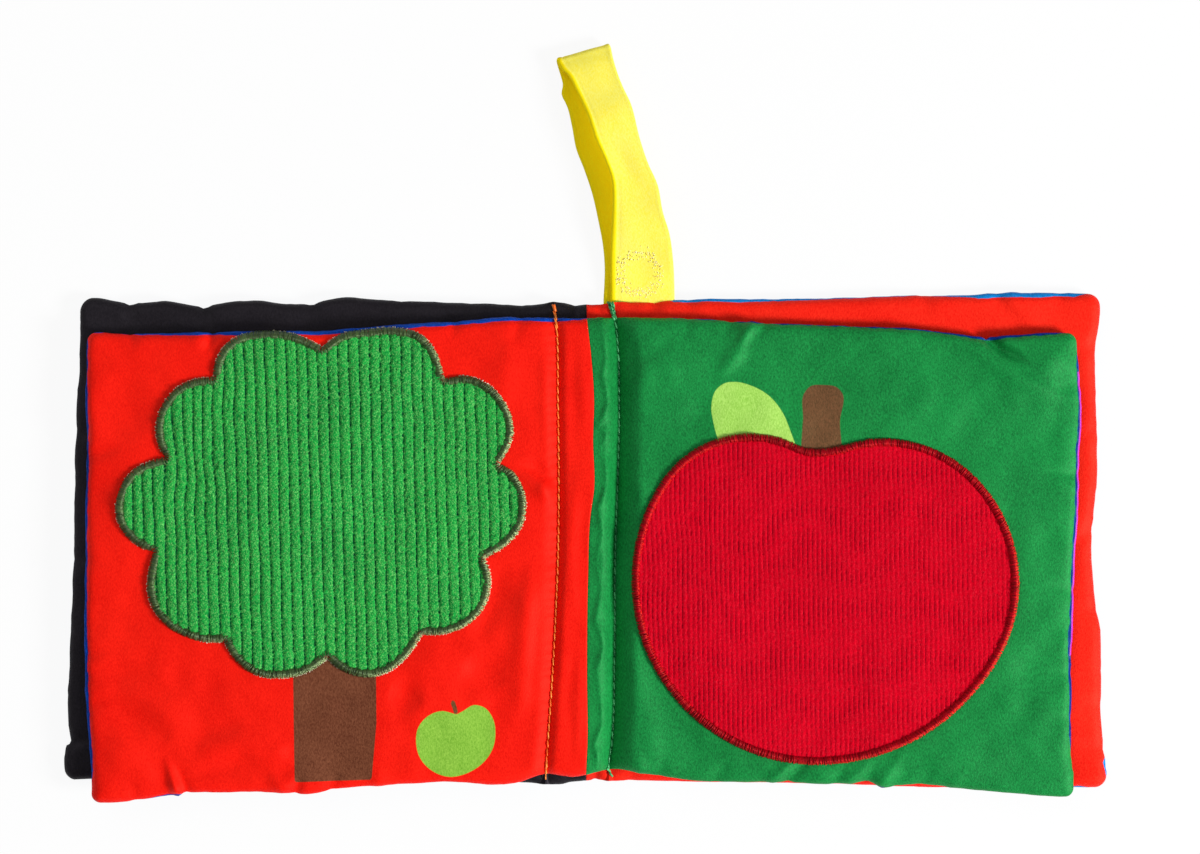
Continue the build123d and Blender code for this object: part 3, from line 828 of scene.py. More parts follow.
# %% Colours of the back cloth
def rolled_over(kind, x, y, roll):
    """Distance behind the seam on the front of a panel: below zero the back cloth shows."""
    points = np.c_[x.ravel(), y.ravel()]
    lines = panel_lines[kind]
    fore = "left" if x[0, -1] < x[0, 0] else "right"
    dots = points / [1, -1] * dots_per_metre + book_origin
    edges = (
        (np.abs(flowing(lines[fore], points[:, 1]) - points[:, 0]), fore, 1),
        (flowing(lines["head"], points[:, 0]) - points[:, 1], "head", 0),
        (points[:, 1] - flowing(lines["tail"], points[:, 0]), "tail", 0),
    )
    wavy = 0.06 * waves(points, 0.0028, 71) + 0.08 * waves(points, 0.008, 72)
    value = np.full(len(points), 9.0)
    for gap, name, axis in edges:
        knots = np.array(roll[name], float)
        value = np.minimum(value, gap - (np.interp(dots[:, axis], *knots.T) + wavy) * mm)
    return value


for cloth, dark, light in (
    (red_page, paint(0, 40, 120), paint(0, 70, 176)),
    (green_page, paint(2, 26, 92), paint(8, 50, 142)),
    (black_cover, paint(0, 104, 176), paint(20, 146, 214)),
    (red_cover, paint(0, 104, 176), paint(20, 146, 214)),
):
    printed(cloth, "back_cloth", dark, light, soft=0.06 * mm)
printed(green_page, "edge_thread", paint(150, 8, 160), paint(206, 36, 206))
print("back cloths set")

# %% [markdown]
# ## The pages and the cover
# Now the four half panels are made. Their stored values say where the prints and the back
# cloth are. Each half takes the place of the plain solids of its leaf.

# %% Make the four half panels
panel_faces = {
    "cover": (cover_top, cover_under, cover_roll, 1.4 * mm),
    "pages": (page_top, page_underside, page_roll, 0.82 * mm),
}
panel_satins = {
    ("cover", -1): black_cover, ("cover", 1): red_cover,
    ("pages", -1): red_page, ("pages", 1): green_page,
}
wholly_back = 1.0  # stored on the underside, which is all back cloth


def per_face(mesh, attribute, pick):
    """One number for each face, picked from the values stored on its points."""
    values = np.zeros(len(mesh.vertices), np.float32)
    mesh.attributes[attribute].data.foreach_get("value", values)
    return np.array([pick(values[list(face.vertices)]) for face in mesh.polygons])


groove_deep, groove_wide, purple_wide = 0.6 * mm, 0.35 * mm, 0.5 * mm
purple_from, purple_foot, purple_head = 0.1, -0.035, 0.052


def half_panel(kind, side):
    """One half of a bag, as a closed mesh in its place."""
    top_of, under_of, roll, step = panel_faces[kind]
    leaf = "left" if side < 0 else "right"
    name = ("cover" if kind == "cover" else "page") + "_" + leaf
    x, y = panel_grid(kind, side, step)
    points = np.c_[x.ravel(), y.ravel()]
    top = top_of(points, rims[kind]).reshape(x.shape)
    under = under_of(points, rims[kind]).reshape(x.shape)
    back = rolled_over(kind, x, y, roll)
    groove = groove_deep * np.exp(-((back / groove_wide) ** 2)).reshape(x.shape)
    inside = np.maximum(depth_inside(points, rims[kind]), 0).reshape(x.shape)
    top = top - groove * np.clip(inside / (0.5 * mm), 0, 1)
    on_rim = np.zeros(x.shape, bool)
    on_rim[0], on_rim[-1], on_rim[:, -1] = True, True, True
    under[on_rim] = top[on_rim]
    on_rim = on_rim.ravel()
    mesh = closed_mesh(name, x, y, top, under)

    def both_sides(front, behind_value):
        """One value for each point, front and back, the same on both sides of the rim."""
        return np.r_[front, np.where(on_rim, front, behind_value)]

    store(mesh, "back_cloth", both_sides(-back, wholly_back))
    if kind == "pages":
        for shape, outline in prints[leaf].items():
            store(mesh, shape, both_sides(depth_inside(points, outline), -1.0))
        # a thin purple edge shows on the right side, outside the blue of the back cloth
        past_blue = purple_wide - inside.ravel()
        beside = (points[:, 0] > purple_from) & (points[:, 1] < purple_head)
        beside &= points[:, 1] > purple_foot
        store(mesh, "edge_thread", both_sides(np.where(beside, past_blue, -1.0), -1.0))
    weld(mesh)
    smooth(mesh)
    mesh.materials.append(panel_satins[kind, side])
    mesh.materials.append(back_satins[kind, side])
    # a face gets the back cloth's own finish when all of it lies behind the seam
    turned = per_face(mesh, "back_cloth", np.min) > 0
    if (kind, side) == ("pages", 1):
        turned &= per_face(mesh, "edge_thread", np.max) <= 0
    turned |= per_face(mesh, "back_cloth", np.max) > wholly_back / 2
    mesh.polygons.foreach_set("material_index", turned.astype(np.int32))
    print(name, len(mesh.polygons), "faces, top", round(top.max() / mm, 2), "mm")
    return place(mesh)


halves = {(kind, side): half_panel(kind, side) for kind in ("cover", "pages") for side in (-1, 1)}

# %% [markdown]
# ## Corduroy
# Corduroy is woven with rows of pile, the wales, and bare ground between them. The crown has
# wide wales, eight to the inch, and the apple fine ones. The wales are real ridges in the
# mesh, because a bump alone goes flat at the edge and in the grooves. Tufts and fuzz are a
# little unevenness on the ridges. The finish adds light flecks on them and a darker ground in
# the grooves, which is partly the ground's own tone and partly painted shade.

# %% Outline of the crown
patch_height = 12.5 * mm
crown_lobes = [
    [(322, 347), (340, 334), (368, 329), (398, 328), (420, 334), (436, 352), (444.5, 378.5)],
    [
        (444.5, 378.5), (466, 376), (484, 382), (498, 393), (508, 408), (513, 424), (512, 440),
        (507, 452), (499.5, 464),
    ],
    [
        (499.5, 464), (511, 470), (519, 480), (525, 495), (526, 510), (521, 528), (512, 540),
        (500, 550), (485, 558),
    ],
    [
        (485, 558), (490, 574), (490, 590), (486, 604), (476, 618), (460, 629), (441, 634.5),
        (422, 634.5),
    ],
    [
        (422, 634.5), (414, 648), (404, 660), (390, 671), (372, 677), (353, 675), (338, 668),
        (327, 659),
    ],
    [
        (327, 659), (312, 670), (296, 676), (280, 678), (263, 677), (248, 671), (237.9, 663),
        (230, 653), (224.1, 642),
    ],
    [
        (224.1, 642), (205.3, 642), (186.6, 637), (170.8, 629), (159.0, 618), (151.1, 606),
        (147.1, 590), (148.1, 573), (153.0, 552),
    ],
    [
        (153.0, 552), (138.2, 546), (125.4, 535), (117.5, 522), (115.1, 508), (117.5, 495),
        (123.4, 481), (134.3, 469), (148.1, 462), (164.9, 457),
    ],
    [
        (164.9, 457), (158.5, 446), (156.0, 435), (156.0, 423), (159.0, 411), (164.4, 401),
        (174.7, 389), (191.5, 380), (213.2, 377),
    ],
    [
        (213.2, 377), (214.2, 366), (218.6, 354), (227.0, 343), (238.8, 335.5), (253.6, 331.5),
        (270.4, 330.5), (290.1, 333), (307.0, 339), (322.0, 347),
    ],
]
crown_outline = np.concatenate(
    [through(on_book(lobe, patch_height), 0.7 * mm)[:-1] for lobe in crown_lobes]
)
print("crown:", len(crown_lobes), "scallops,", len(crown_outline), "points")


# %% Outline of the apple
def swung(spoke, angle):
    """A flat vector turned by an angle."""
    c, s = np.cos(angle), np.sin(angle)
    return np.array([c * spoke[0] - s * spoke[1], s * spoke[0] + c * spoke[1]])


def arc(here, middle, angle):
    """Places along an arc round a middle, from one place on."""
    return [middle + swung(here - middle, angle * share) for share in np.linspace(0, 1, 40)[1:]]


def arcs_from(start, turn_way, arcs, end):
    """Places along a chain of arcs, each given as radius and turn, closed by one more arc."""
    here, heading, line = np.array(start, float), np.array([float(-turn_way), 0.0]), []
    for radius, degrees in arcs:
        angle = np.radians(degrees) * turn_way
        middle = here + radius * np.sign(angle) * np.array([-heading[1], heading[0]])
        line += arc(here, middle, angle)
        here, heading = line[-1], swung(heading, angle)
    chord = np.array(end, float) - here
    normal = np.array([-heading[1], heading[0]])
    radius = (chord @ chord) / (2 * chord @ normal)
    line += arc(here, here + radius * normal, 2 * np.arctan2(chord @ normal, chord @ heading))
    return np.array(line)


apple_dip, apple_base = (70.8, 28.4), (72.5, -68.2)
apple_left = arcs_from(apple_dip, 1, [(12.6, -26.4), (32.4, 83.1), (55.3, 55.7)], apple_base)
apple_right = arcs_from(apple_dip, -1, [(32.4, -17.1), (39.0, 58.2), (45.8, 76.6)], apple_base)
apple_flat = np.concatenate([[apple_dip], apple_left, apple_right[:-1][::-1]]) * mm
apple_outline = camera_axis + (apple_flat - camera_axis) * (1 - patch_height / camera_height)
print("apple:", ((apple_outline.max(0) - apple_outline.min(0)) / mm).round(1), "mm")


# %% Make the corduroy
def corduroy(name, outline, wale, lean, tall, seed, across, along, tuft):
    """A patch of corduroy lying on its page, with ridges and tufts of pile in the mesh."""
    low, high = outline.min(0), outline.max(0)
    x, y = np.meshgrid(
        np.arange(low[0], high[0], wale / across), np.arange(low[1], high[1], along)
    )
    points = np.c_[x.ravel(), y.ravel()]
    depth = depth_inside(points, outline)
    bed = np.zeros(len(points))
    near = depth > -wale
    bed[near] = page_top(points[near], rims["pages"])
    # the wales sway most at the upper left, where the crown lies loosest
    loose = np.exp(-(((points - [low[0] + 0.022, high[1] - 0.036]) / 0.02) ** 2).sum(1))
    sway = (0.03 + 0.14 * loose) * wale * waves(points, 0.022, seed)
    row = (points[:, 0] + lean * points[:, 1] + sway) / wale
    number_of_row = np.floor(row)
    # every wale is a row of small tufts, which stand a little to the left or the right
    tuft_phase = points[:, 1] / tuft + 7.3 * np.sin(12.9898 * number_of_row)
    tooth = 0.05 * np.sin(2 * np.pi * tuft_phase) + 0.04 * waves(points, 0.0016, seed + 3, 40)
    within = np.clip(np.abs(2 * (row - number_of_row) - 1) + tooth, 0, 1)
    # the pile lies closer on the right of a patch, so the grooves are narrower there
    ridge = 1 - within ** np.interp(points[:, 0], [low[0], high[0]], [3.0, 5.0])
    pile = waves(points, 0.0011, seed + 1, 40) + waves(points, 0.0022, seed + 2, 30)
    fuzz = np.random.default_rng(seed + 4).normal(0, 1, len(points))
    edge = 0.5 * mm * np.exp(-np.maximum(depth, 0) / (1.2 * mm))
    z = bed + 0.35 * mm + tall * (ridge + (0.05 * pile + 0.09 * fuzz) * (0.3 + ridge)) - edge
    keep = (depth > 0.9 * mm).reshape(x.shape)
    grid = np.arange(x.size).reshape(x.shape)
    corners = [np.s_[:-1, :-1], np.s_[:-1, 1:], np.s_[1:, 1:], np.s_[1:, :-1]]
    cells = np.all([keep[corner] for corner in corners], axis=0)
    faces = np.stack([grid[corner][cells] for corner in corners], 1)
    used = np.unique(faces)
    number = np.zeros(x.size, int)
    number[used] = np.arange(len(used))
    mesh = bpy.data.meshes.new(name)
    mesh.from_pydata(np.c_[points, z][used].tolist(), [], number[faces].tolist())
    store(mesh, "ridge", ridge[used])
    store(mesh, "pile_tone", np.clip(0.5 + 0.16 * pile + 0.2 * fuzz, 0, 1)[used])
    smooth(mesh)
    print(name, len(mesh.polygons), "faces")
    return place(mesh)


crown = corduroy(
    "crown_corduroy", crown_outline, 3.175 * mm, 0.028, 0.75 * mm, 21, 9, 0.34 * mm, 1.15 * mm
)
apple = corduroy(
    "apple_corduroy", apple_outline, 1.47 * mm, 0.02, 0.32 * mm, 31, 5, 0.42 * mm, 0.7 * mm
)


# %% Colour the pile
def pile_finish(name, ground_and_shade, dark, light, fleck, sheen_tint, fleck_share):
    """Corduroy pile: a darker ground in the grooves, partly painted shade, and mottled fuzz with
    light flecks on the wales.
    """
    material = satin(name, dark, light, 0.9, 0.08, sheen=0.15, bump=0.8, thread=2400.0)
    tree = material.node_tree
    shader, stretch, tone = (tree.nodes[kind] for kind in ("Principled BSDF", "Mapping", "Mix"))
    shader.inputs["Sheen Tint"].default_value = sheen_tint
    stretch.inputs["Scale"].default_value = (1.0, 0.7, 1.0)
    # half of the mottling comes from the tufts themselves, half from the fine grain
    tufts = add_node(tree, "Attribute", attribute_name="pile_tone")
    both = add_node(tree, "Math", {1: 0.5}, operation="MULTIPLY_ADD")
    half_grain = add_node(tree, "Math", {1: 0.5}, operation="MULTIPLY")
    wire(
        tree,
        (tree.nodes["Map Range"], "Result", half_grain, 0), (tufts, "Fac", both, 0),
        (half_grain, "Value", both, 2), (both, "Value", tone, "Factor"),
    )
    speck = add_node(tree, "TexNoise", {"Scale": 3300.0, "Detail": 1.0})
    bright = add_node(
        tree, "MapRange", {"From Min": 0.5, "From Max": 0.72, "To Max": fleck_share}, label="fleck"
    )
    flecked = add_node(tree, "Mix", {"B": fleck}, data_type="RGBA")
    # the grooves get the darker ground colour by the stored ridge height: partly the ground's own
    # tone, partly painted shade
    stored = add_node(tree, "Attribute", attribute_name="ridge")
    groove = add_node(
        tree, "MapRange", {"From Min": 0.05, "From Max": 0.6}, label="groove",
        interpolation_type="SMOOTHSTEP",
    )
    deep = add_node(tree, "Mix", {"A": ground_and_shade}, data_type="RGBA")
    wire(
        tree,
        (stretch, "Vector", speck, "Vector"), (speck, "Fac", bright, "Value"),
        (bright, "Result", flecked, "Factor"), (tone, "Result", flecked, "A"),
        (stored, "Fac", groove, "Value"), (groove, "Result", deep, "Factor"),
        (flecked, "Result", deep, "B"), (deep, "Result", shader, "Base Color"),
    )
    return material


# the first colour is the ground in the grooves, darkened partly as painted shade
crown.data.materials.append(pile_finish(
    "green_corduroy_pile", paint(0, 70, 50), paint(0, 98, 42), paint(36, 188, 74),
    paint(150, 230, 130), (0.5, 1.0, 0.6, 1.0), 0.6,
))
apple.data.materials.append(pile_finish(
    "crimson_corduroy_pile", paint(132, 0, 22), paint(182, 0, 22), paint(218, 0, 32),
    paint(240, 60, 80), (1.0, 0.3, 0.4, 1.0), 0.25,
))
print("piles:", crown.active_material.name, "and", apple.active_material.name)

# %% [markdown]
# ## Satin-stitch borders
# The patches are sewn on with a band of dense zigzag: more than a thousand threads lie side
# by side across the edge and hide it. Seen close, the band is a round ridge of threads. So it
# is built from its threads. Each is a thin bent tube that comes up on one side of the edge,
# arches over it and goes down on the other.


# %% Threads across an edge
def tubes(name, paths, radius, sides=5):
    """One mesh of thin round threads, each following its own path of equal length."""
    paths = np.array(paths, float)
    count, length, _ = paths.shape
    tangent = np.gradient(paths, axis=1)
    tangent /= np.linalg.norm(tangent, axis=2, keepdims=True)
    up = np.array([0.0, 0.0, 1.0])
    aside = np.cross(tangent, up)
    aside /= np.linalg.norm(aside, axis=2, keepdims=True) + 1e-9
    normal = np.cross(aside, tangent)
    turn = np.linspace(0, 2 * np.pi, sides, endpoint=False)
    thick = np.broadcast_to(np.asarray(radius, float), (count, length))[:, :, None, None]
    ring = (
        aside[:, :, None] * np.cos(turn)[:, None] + normal[:, :, None] * np.sin(turn)[:, None]
    ) * thick
    places = (paths[:, :, None] + ring).reshape(-1, 3)
    base = (np.arange(count)[:, None, None] * length + np.arange(length - 1)[None, :, None]) * sides
    k = np.arange(sides)[None, None]
    a, b = base + k, base + (k + 1) % sides
    faces = np.stack([a, b, b + sides, a + sides], -1).reshape(-1, 4)
    caps = []
    for first, way in ((0, -1), ((length - 1) * sides, 1)):
        ends = np.arange(count)[:, None] * length * sides + first + np.arange(sides)[::way]
        caps += ends.tolist()
    mesh = bpy.data.meshes.new(name)
    mesh.from_pydata(places.tolist(), [], faces.tolist() + caps)
    store(mesh, "thread", np.repeat(dice.uniform(0, 1, count), length * sides))
    smooth(mesh)
    return place(mesh)


def even_line(line, step, closed):
    """The same line with its points evenly spaced, and the direction at each of them."""
    line = np.concatenate([line, line[:1]]) if closed else line
    way = np.r_[0, np.cumsum(np.linalg.norm(np.diff(line, axis=0), axis=1))]
    at, reach, lap = np.arange(0, way[-1], step), 0.8 * mm, way[-1] if closed else None
    even = np.stack([np.interp(at, way, line[:, k]) for k in (0, 1)], 1)
    before, after = (
        np.stack([np.interp(at + shift, way, line[:, k], period=lap) for k in (0, 1)], 1)
        for shift in (-reach, reach)
    )
    heading = after - before
    return even, heading / np.linalg.norm(heading, axis=1, keepdims=True)


def round_a_patch(outline, spacing):
    """Evenly spaced places on an outline, the direction along it and the one out of it."""
    line, heading = even_line(outline, spacing, True)
    outward = np.stack([heading[:, 1], -heading[:, 0]], 1)
    if depth_inside(line[:1] + outward[:1] * mm, outline)[0] > 0:
        outward = -outward
    return line, heading, outward


def page_under(flat):
    """Height of the page under the places of many paths."""
    return page_top(flat.reshape(-1, 2), rims["pages"]).reshape(flat.shape[:2])


print("the crown's edge is", len(even_line(crown_outline, mm, True)[0]), "mm long")


# %% A band of threads round each patch
def satin_border(name, outline, width, tall, spacing, radius, inner_painted_highlight):
    """A band of threads over the edge of a patch."""
    line, heading, outward = round_a_patch(outline, spacing)
    steps = np.array([-1.0, -0.82, -0.45, 0.0, 0.45, 0.82, 1.0])
    slant = 0.3 * spacing
    jitter = dice.normal(0, 1, (len(line), 3))
    flat = []
    for share in steps:
        half = width / 2 + jitter[:, 1:2] * 0.09 * mm
        lean = (slant + jitter[:, 2:3] * 0.12 * mm) * share
        flat.append(line - outward * (width / 2) + outward * half * share + heading * lean)
    flat = np.stack(flat, 1)
    arch = tall * np.sqrt(np.maximum(1 - (steps * 0.98) ** 2, 0))
    arch -= 0.25 * mm * (np.abs(steps) > 0.9)  # the ends go down into the cloth
    z = page_under(flat) + arch * (1 + 0.16 * jitter[:, :1]) + 0.05 * mm
    band = tubes(name, np.concatenate([flat, z[:, :, None]], 2), radius)
    # painted highlight: bright flecks go on the flank that faces the light, above all on the
    # outside
    facing = outward @ np.array([0.92, -0.4])
    painted_highlight_gain = np.where(facing > 0, 1.6, inner_painted_highlight)[:, None]
    lit = np.clip(facing[:, None] * steps * painted_highlight_gain, 0, 1)
    store(band.data, "lit", np.repeat(lit.ravel(), 5))
    print(name, len(line), "threads,", len(band.data.polygons), "faces")
    return band


crown_band = satin_border(
    "crown_satin_border", crown_outline, 2.4 * mm, 1.3 * mm, 0.3 * mm, 0.17 * mm, 0.3
)
apple_band = satin_border(
    "apple_satin_border", apple_outline, 2.3 * mm, 1.2 * mm, 0.3 * mm, 0.17 * mm, 1.0
)


# %% Colour the threads
def thread_finish(name, dark, light, glint, fleck=None, painted_highlight_from=0.46):
    """Shiny embroidery thread whose shade changes from thread to thread, with painted highlight
    flecks where it faces the light.
    """
    material = satin(name, dark, light, 0.4, 1.0, bump=0.15, thread=3600.0, reflection=glint)
    tree = material.node_tree
    shader, tone, place_on = (
        tree.nodes[kind] for kind in ("Principled BSDF", "Mix", "Texture Coordinate")
    )
    wire(tree, (add_node(tree, "Attribute", attribute_name="thread"), "Fac", tone, "Factor"))
    # painted highlight: the fleck colour is mixed in only where the stored value lit says the
    # thread faces the light
    if fleck:
        speck = add_node(tree, "TexNoise", {"Scale": 2100.0, "Detail": 1.0})
        bright = add_node(
            tree, "MapRange", {"From Min": painted_highlight_from, "From Max": painted_highlight_from + 0.1}
        )
        lit = add_node(tree, "Attribute", attribute_name="lit")
        where_lit = add_node(tree, "Math", operation="MULTIPLY")
        flecked = add_node(tree, "Mix", {"B": fleck}, data_type="RGBA")
        wire(
            tree,
            (place_on, "Object", speck, "Vector"), (speck, "Fac", bright, "Value"),
            (bright, "Result", where_lit, 0), (lit, "Fac", where_lit, 1),
            (where_lit, "Value", flecked, "Factor"), (tone, "Result", flecked, "A"),
            (flecked, "Result", shader, "Base Color"),
        )
    return material


# the last colour is the painted highlight on the lit flank of the band
crown_band.data.materials.append(thread_finish(
    "olive_thread", paint(30, 50, 24), paint(70, 96, 46), (0.78, 1.0, 0.62, 1.0),
    paint(200, 228, 160)
))
# the last colour is the painted highlight on the lit flank of the band
apple_band.data.materials.append(thread_finish(
    "crimson_thread", paint(130, 0, 18), paint(186, 0, 26), (1.0, 0.12, 0.1, 1.0),
    paint(255, 44, 28)
))
print("threads:", crown_band.active_material.name, "and", apple_band.active_material.name)


# %% Loose ends beside the crown
def loose_ends(name, outline, chance):
    """Ends of the pale lower thread, which show here and there outside the band."""
    line, heading, outward = round_a_patch(outline, 0.55 * mm)
    patchy = np.clip(0.5 + 0.5 * waves(line, 0.02, 81), 0, 1)
    shown = dice.uniform(0, 1, len(line)) < chance * patchy * 2
    line, heading, outward = line[shown], heading[shown], outward[shown]
    size = dice.uniform(0.25, 0.55, (len(line), 1)) * mm
    skew = dice.normal(0, 0.5, (len(line), 1))
    first = line - outward * 0.16 * mm
    way_out = (outward + heading * skew) * size
    flat = np.stack([first + way_out * share for share in (0, 0.5, 1)], 1)
    z = page_under(flat) + np.array([0.12, 0.16, 0.04]) * mm
    return tubes(name, np.concatenate([flat, z[:, :, None]], 2), 0.13 * mm)


crown_specks = loose_ends("crown_loose_ends", crown_outline, 0.6)
crown_specks.data.materials.append(thread_finish(
    "cream_thread", paint(196, 184, 150), paint(250, 240, 214), (1.0, 1.0, 0.9, 1.0)
))
print("loose ends:", len(crown_specks.data.polygons), "faces")

# %% [markdown]
# ## The two stitch lines
# Orange thread on the left and green thread on the right sew the bags together. A lockstitch
# shows as a row of short threads with a needle hole between each two, drawn down into the
# crease. At the head and the tail the machine has sewn back and forth over the same place.


# %% One row of stitches
def surface_height(points):
    """Height of whatever cloth is on top at these places: the pages, or the cover around them."""
    on_page = depth_inside(points, rims["pages"]) > 0
    height = cover_top(points, rims["cover"])
    height[on_page] = page_top(points[on_page], rims["pages"])
    return height


def stitches(name, dots, pitch, radius, lift, aside):
    """A row of short threads along a line of the book."""
    line, heading = even_line(through(on_book(dots, seam_height), 0.5 * mm), pitch, False)
    line, heading = line[:-1], heading[:-1]
    normal = np.stack([-heading[:, 1], heading[:, 0]], 1)
    share = np.array([0.05, 0.2, 0.5, 0.8, 0.95])
    arch = np.array([-0.8, 0.3, 1.0, 0.3, -0.8])
    tilt = np.array([-1, -0.6, 0, 0.6, 1])
    flat = (
        line[:, None] + heading[:, None] * (share * pitch)[:, None]
        + normal[:, None] * (aside + 0.14 * mm * tilt)[:, None]
    )
    z = surface_height(flat.reshape(-1, 2)).reshape(flat.shape[:2]) + arch * radius + lift
    return tubes(name, np.concatenate([flat, z[:, :, None]], 2), radius, 6)


page_middle = surface_height(np.array([[80 * mm, 0.0]]))
print("the right page is", (page_middle / mm).round(1), "mm high in its middle")

# %% Sew the stitch lines
left_line = [
    (554, 304.5), (556, 320), (558, 400), (558, 560), (554, 650), (549.5, 720), (546, 770),
    (545, 783),
]
right_line = [
    (611, 305), (615, 321), (618, 351), (619, 400), (615, 570), (614.5, 650), (612, 740),
    (609, 770), (611, 779.5),
]
orange = thread_finish(
    "orange_thread", paint(255, 98, 14), paint(255, 152, 58), (1.0, 0.7, 0.4, 1.0)
)
green = thread_finish(
    "green_thread", paint(10, 110, 58), paint(76, 190, 116), (0.6, 1.0, 0.7, 1.0)
)
# name, line, and in millimetres: pitch, radius of the thread, lift and shift to the side
seams = [
    ("orange_stitches", left_line, 2.5, 0.21, 0.48, 0),
    ("orange_backtack_head", [(553, 304), (555.2, 318), (557, 334)], 2.1, 0.21, 0.4, -0.1),
    ("orange_backtack_head_2", [(554.6, 304), (556, 318), (557, 330)], 2.4, 0.21, 0.4, 0.08),
    ("orange_backtack_tail", [(546.5, 760), (545.8, 770), (546, 780)], 2.1, 0.26, 0.35, 0.15),
    ("green_stitches", right_line, 2.5, 0.28, 0.2, 0),
    ("green_backtack_head", [(608.5, 301.5), (611.5, 311), (615.5, 323)], 1.5, 0.36, 0.5, -0.1),
    ("green_backtack_head_2", [(612.5, 302), (613.8, 311), (616.5, 323)], 1.8, 0.36, 0.5, 0.12),
    ("green_backtack_head_3", [(610.5, 302), (612.6, 311), (616, 322)], 1.3, 0.32, 0.85, 0),
    ("green_backtack_tail", [(606.5, 768), (609.5, 773), (611.5, 778.5)], 1.6, 0.34, 0.4, 0.2),
]
sewing = [
    stitches(name, line, *(measure * mm for measure in measures))
    for name, line, *measures in seams
]
for piece in sewing:
    piece.data.materials.append(orange if piece.name.startswith("orange") else green)
print("sewn:", [piece.name for piece in sewing])

# %% [markdown]
# ## The strap
# A strip of yellow cotton, sewn into a flat tube and folded in two. Its ends are caught in the
# head seam and a ring of zigzag stitches holds the layers together there. It is a real loop:
# the lower layer lies on the table, the fold stands up a little, and the upper layer bridges
# back. So it is modelled as one ribbon, by its two edges, all the way round.

# %% The two layers of the strap
# Each row is a place on the left edge, one on the right edge, and their heights in millimetres.
# The rows go from the seam out along the lower layer, round the fold and back along the upper.
lower_layer = [
    ((604.5, 318), (668, 318), 1.3, 1.3), ((603.5, 303), (668, 303), 1.3, 1.3),
    ((604.3, 285), (667, 285), 1.1, 1.1), ((604.7, 269), (666, 267), 0.9, 0.8),
    ((603, 246), (664, 243), 0.9, 0.8), ((598.4, 221), (659, 217), 0.9, 0.8),
    ((592, 193), (652, 187), 0.9, 0.8), ((584, 169), (643, 160), 0.9, 0.8),
    ((576, 148), (634, 132), 0.9, 0.8), ((571.5, 124), (627, 108), 1.0, 0.8),
    ((566.5, 105), (618, 88), 1.2, 0.8), ((561.7, 95), (615, 80), 1.2, 0.8),
    ((562.8, 84), (612, 66), 1.3, 0.9), ((559.5, 72), (611, 56), 1.5, 1.0),
    ((558, 67), (610, 51), 1.7, 1.1),
]
upper_layer = [
    ((558, 64), (611, 48), 4.4, 4.2), ((562, 70), (613, 58), 5.4, 5.2),
    ((568, 75), (616.5, 70), 6.2, 5.8), ((577, 92), (623, 87), 7.4, 6.8),
    ((586, 112), (631, 104), 8.6, 8.0), ((595.5, 138.6), (640, 139), 9.6, 9.2),
    ((605, 160), (648, 163), 9.9, 9.8), ((611.5, 179), (658, 186), 9.6, 9.9),
    ((612.7, 195), (662.4, 210), 8.8, 9.4), ((611.7, 222), (669.5, 234), 7.6, 8.4),
    ((610.6, 250), (673, 259), 5.8, 6.6), ((610.2, 272), (674, 274), 3.9, 4.4),
    ((610, 292), (674.5, 292), 2.7, 2.8), ((609.8, 304), (674.5, 304), 2.5, 2.5),
    ((609.8, 318), (674.5, 318), 2.5, 2.5),
]
print("the strap is read at", len(lower_layer) + len(upper_layer), "places")


# %% Edges of the strap, all the way round
def ribbon_edges(stations, step):
    """Smooth left and right edges of one layer, with their heights, in metres."""
    left = np.array([[*on_book([a], h * mm)[0], h * mm] for a, b, h, g in stations])
    right = np.array([[*on_book([b], g * mm)[0], g * mm] for a, b, h, g in stations])
    middle = (left + right) / 2
    way = np.r_[0, np.cumsum(np.linalg.norm(np.diff(middle, axis=0), axis=1))]
    at = np.linspace(0, way[-1], int(way[-1] / step) + 1)
    return [
        np.stack([flowing(np.c_[way, edge[:, k]], at) for k in range(3)], 1)
        for edge in (left, right)
    ]


def fold_edge(start, end, out, count):
    """Half turn of an edge round the fold."""
    middle, half = (start + end) / 2, (start - end) / 2
    reach = np.linalg.norm(half)
    turn = np.linspace(0, np.pi, count + 2)[1:-1]
    return middle + np.cos(turn)[:, None] * half + np.sin(turn)[:, None] * out * reach


fold_out, fold_rows = np.array([-0.31, 0.95, 0.0]), 7
lower_edges, upper_edges = ribbon_edges(lower_layer, 1.2 * mm), ribbon_edges(upper_layer, 1.2 * mm)
left_edge, right_edge = (
    np.concatenate([low, fold_edge(low[-1], top[0], fold_out, fold_rows), top])
    for low, top in zip(lower_edges, upper_edges)
)
print("edges of", len(left_edge), "points")


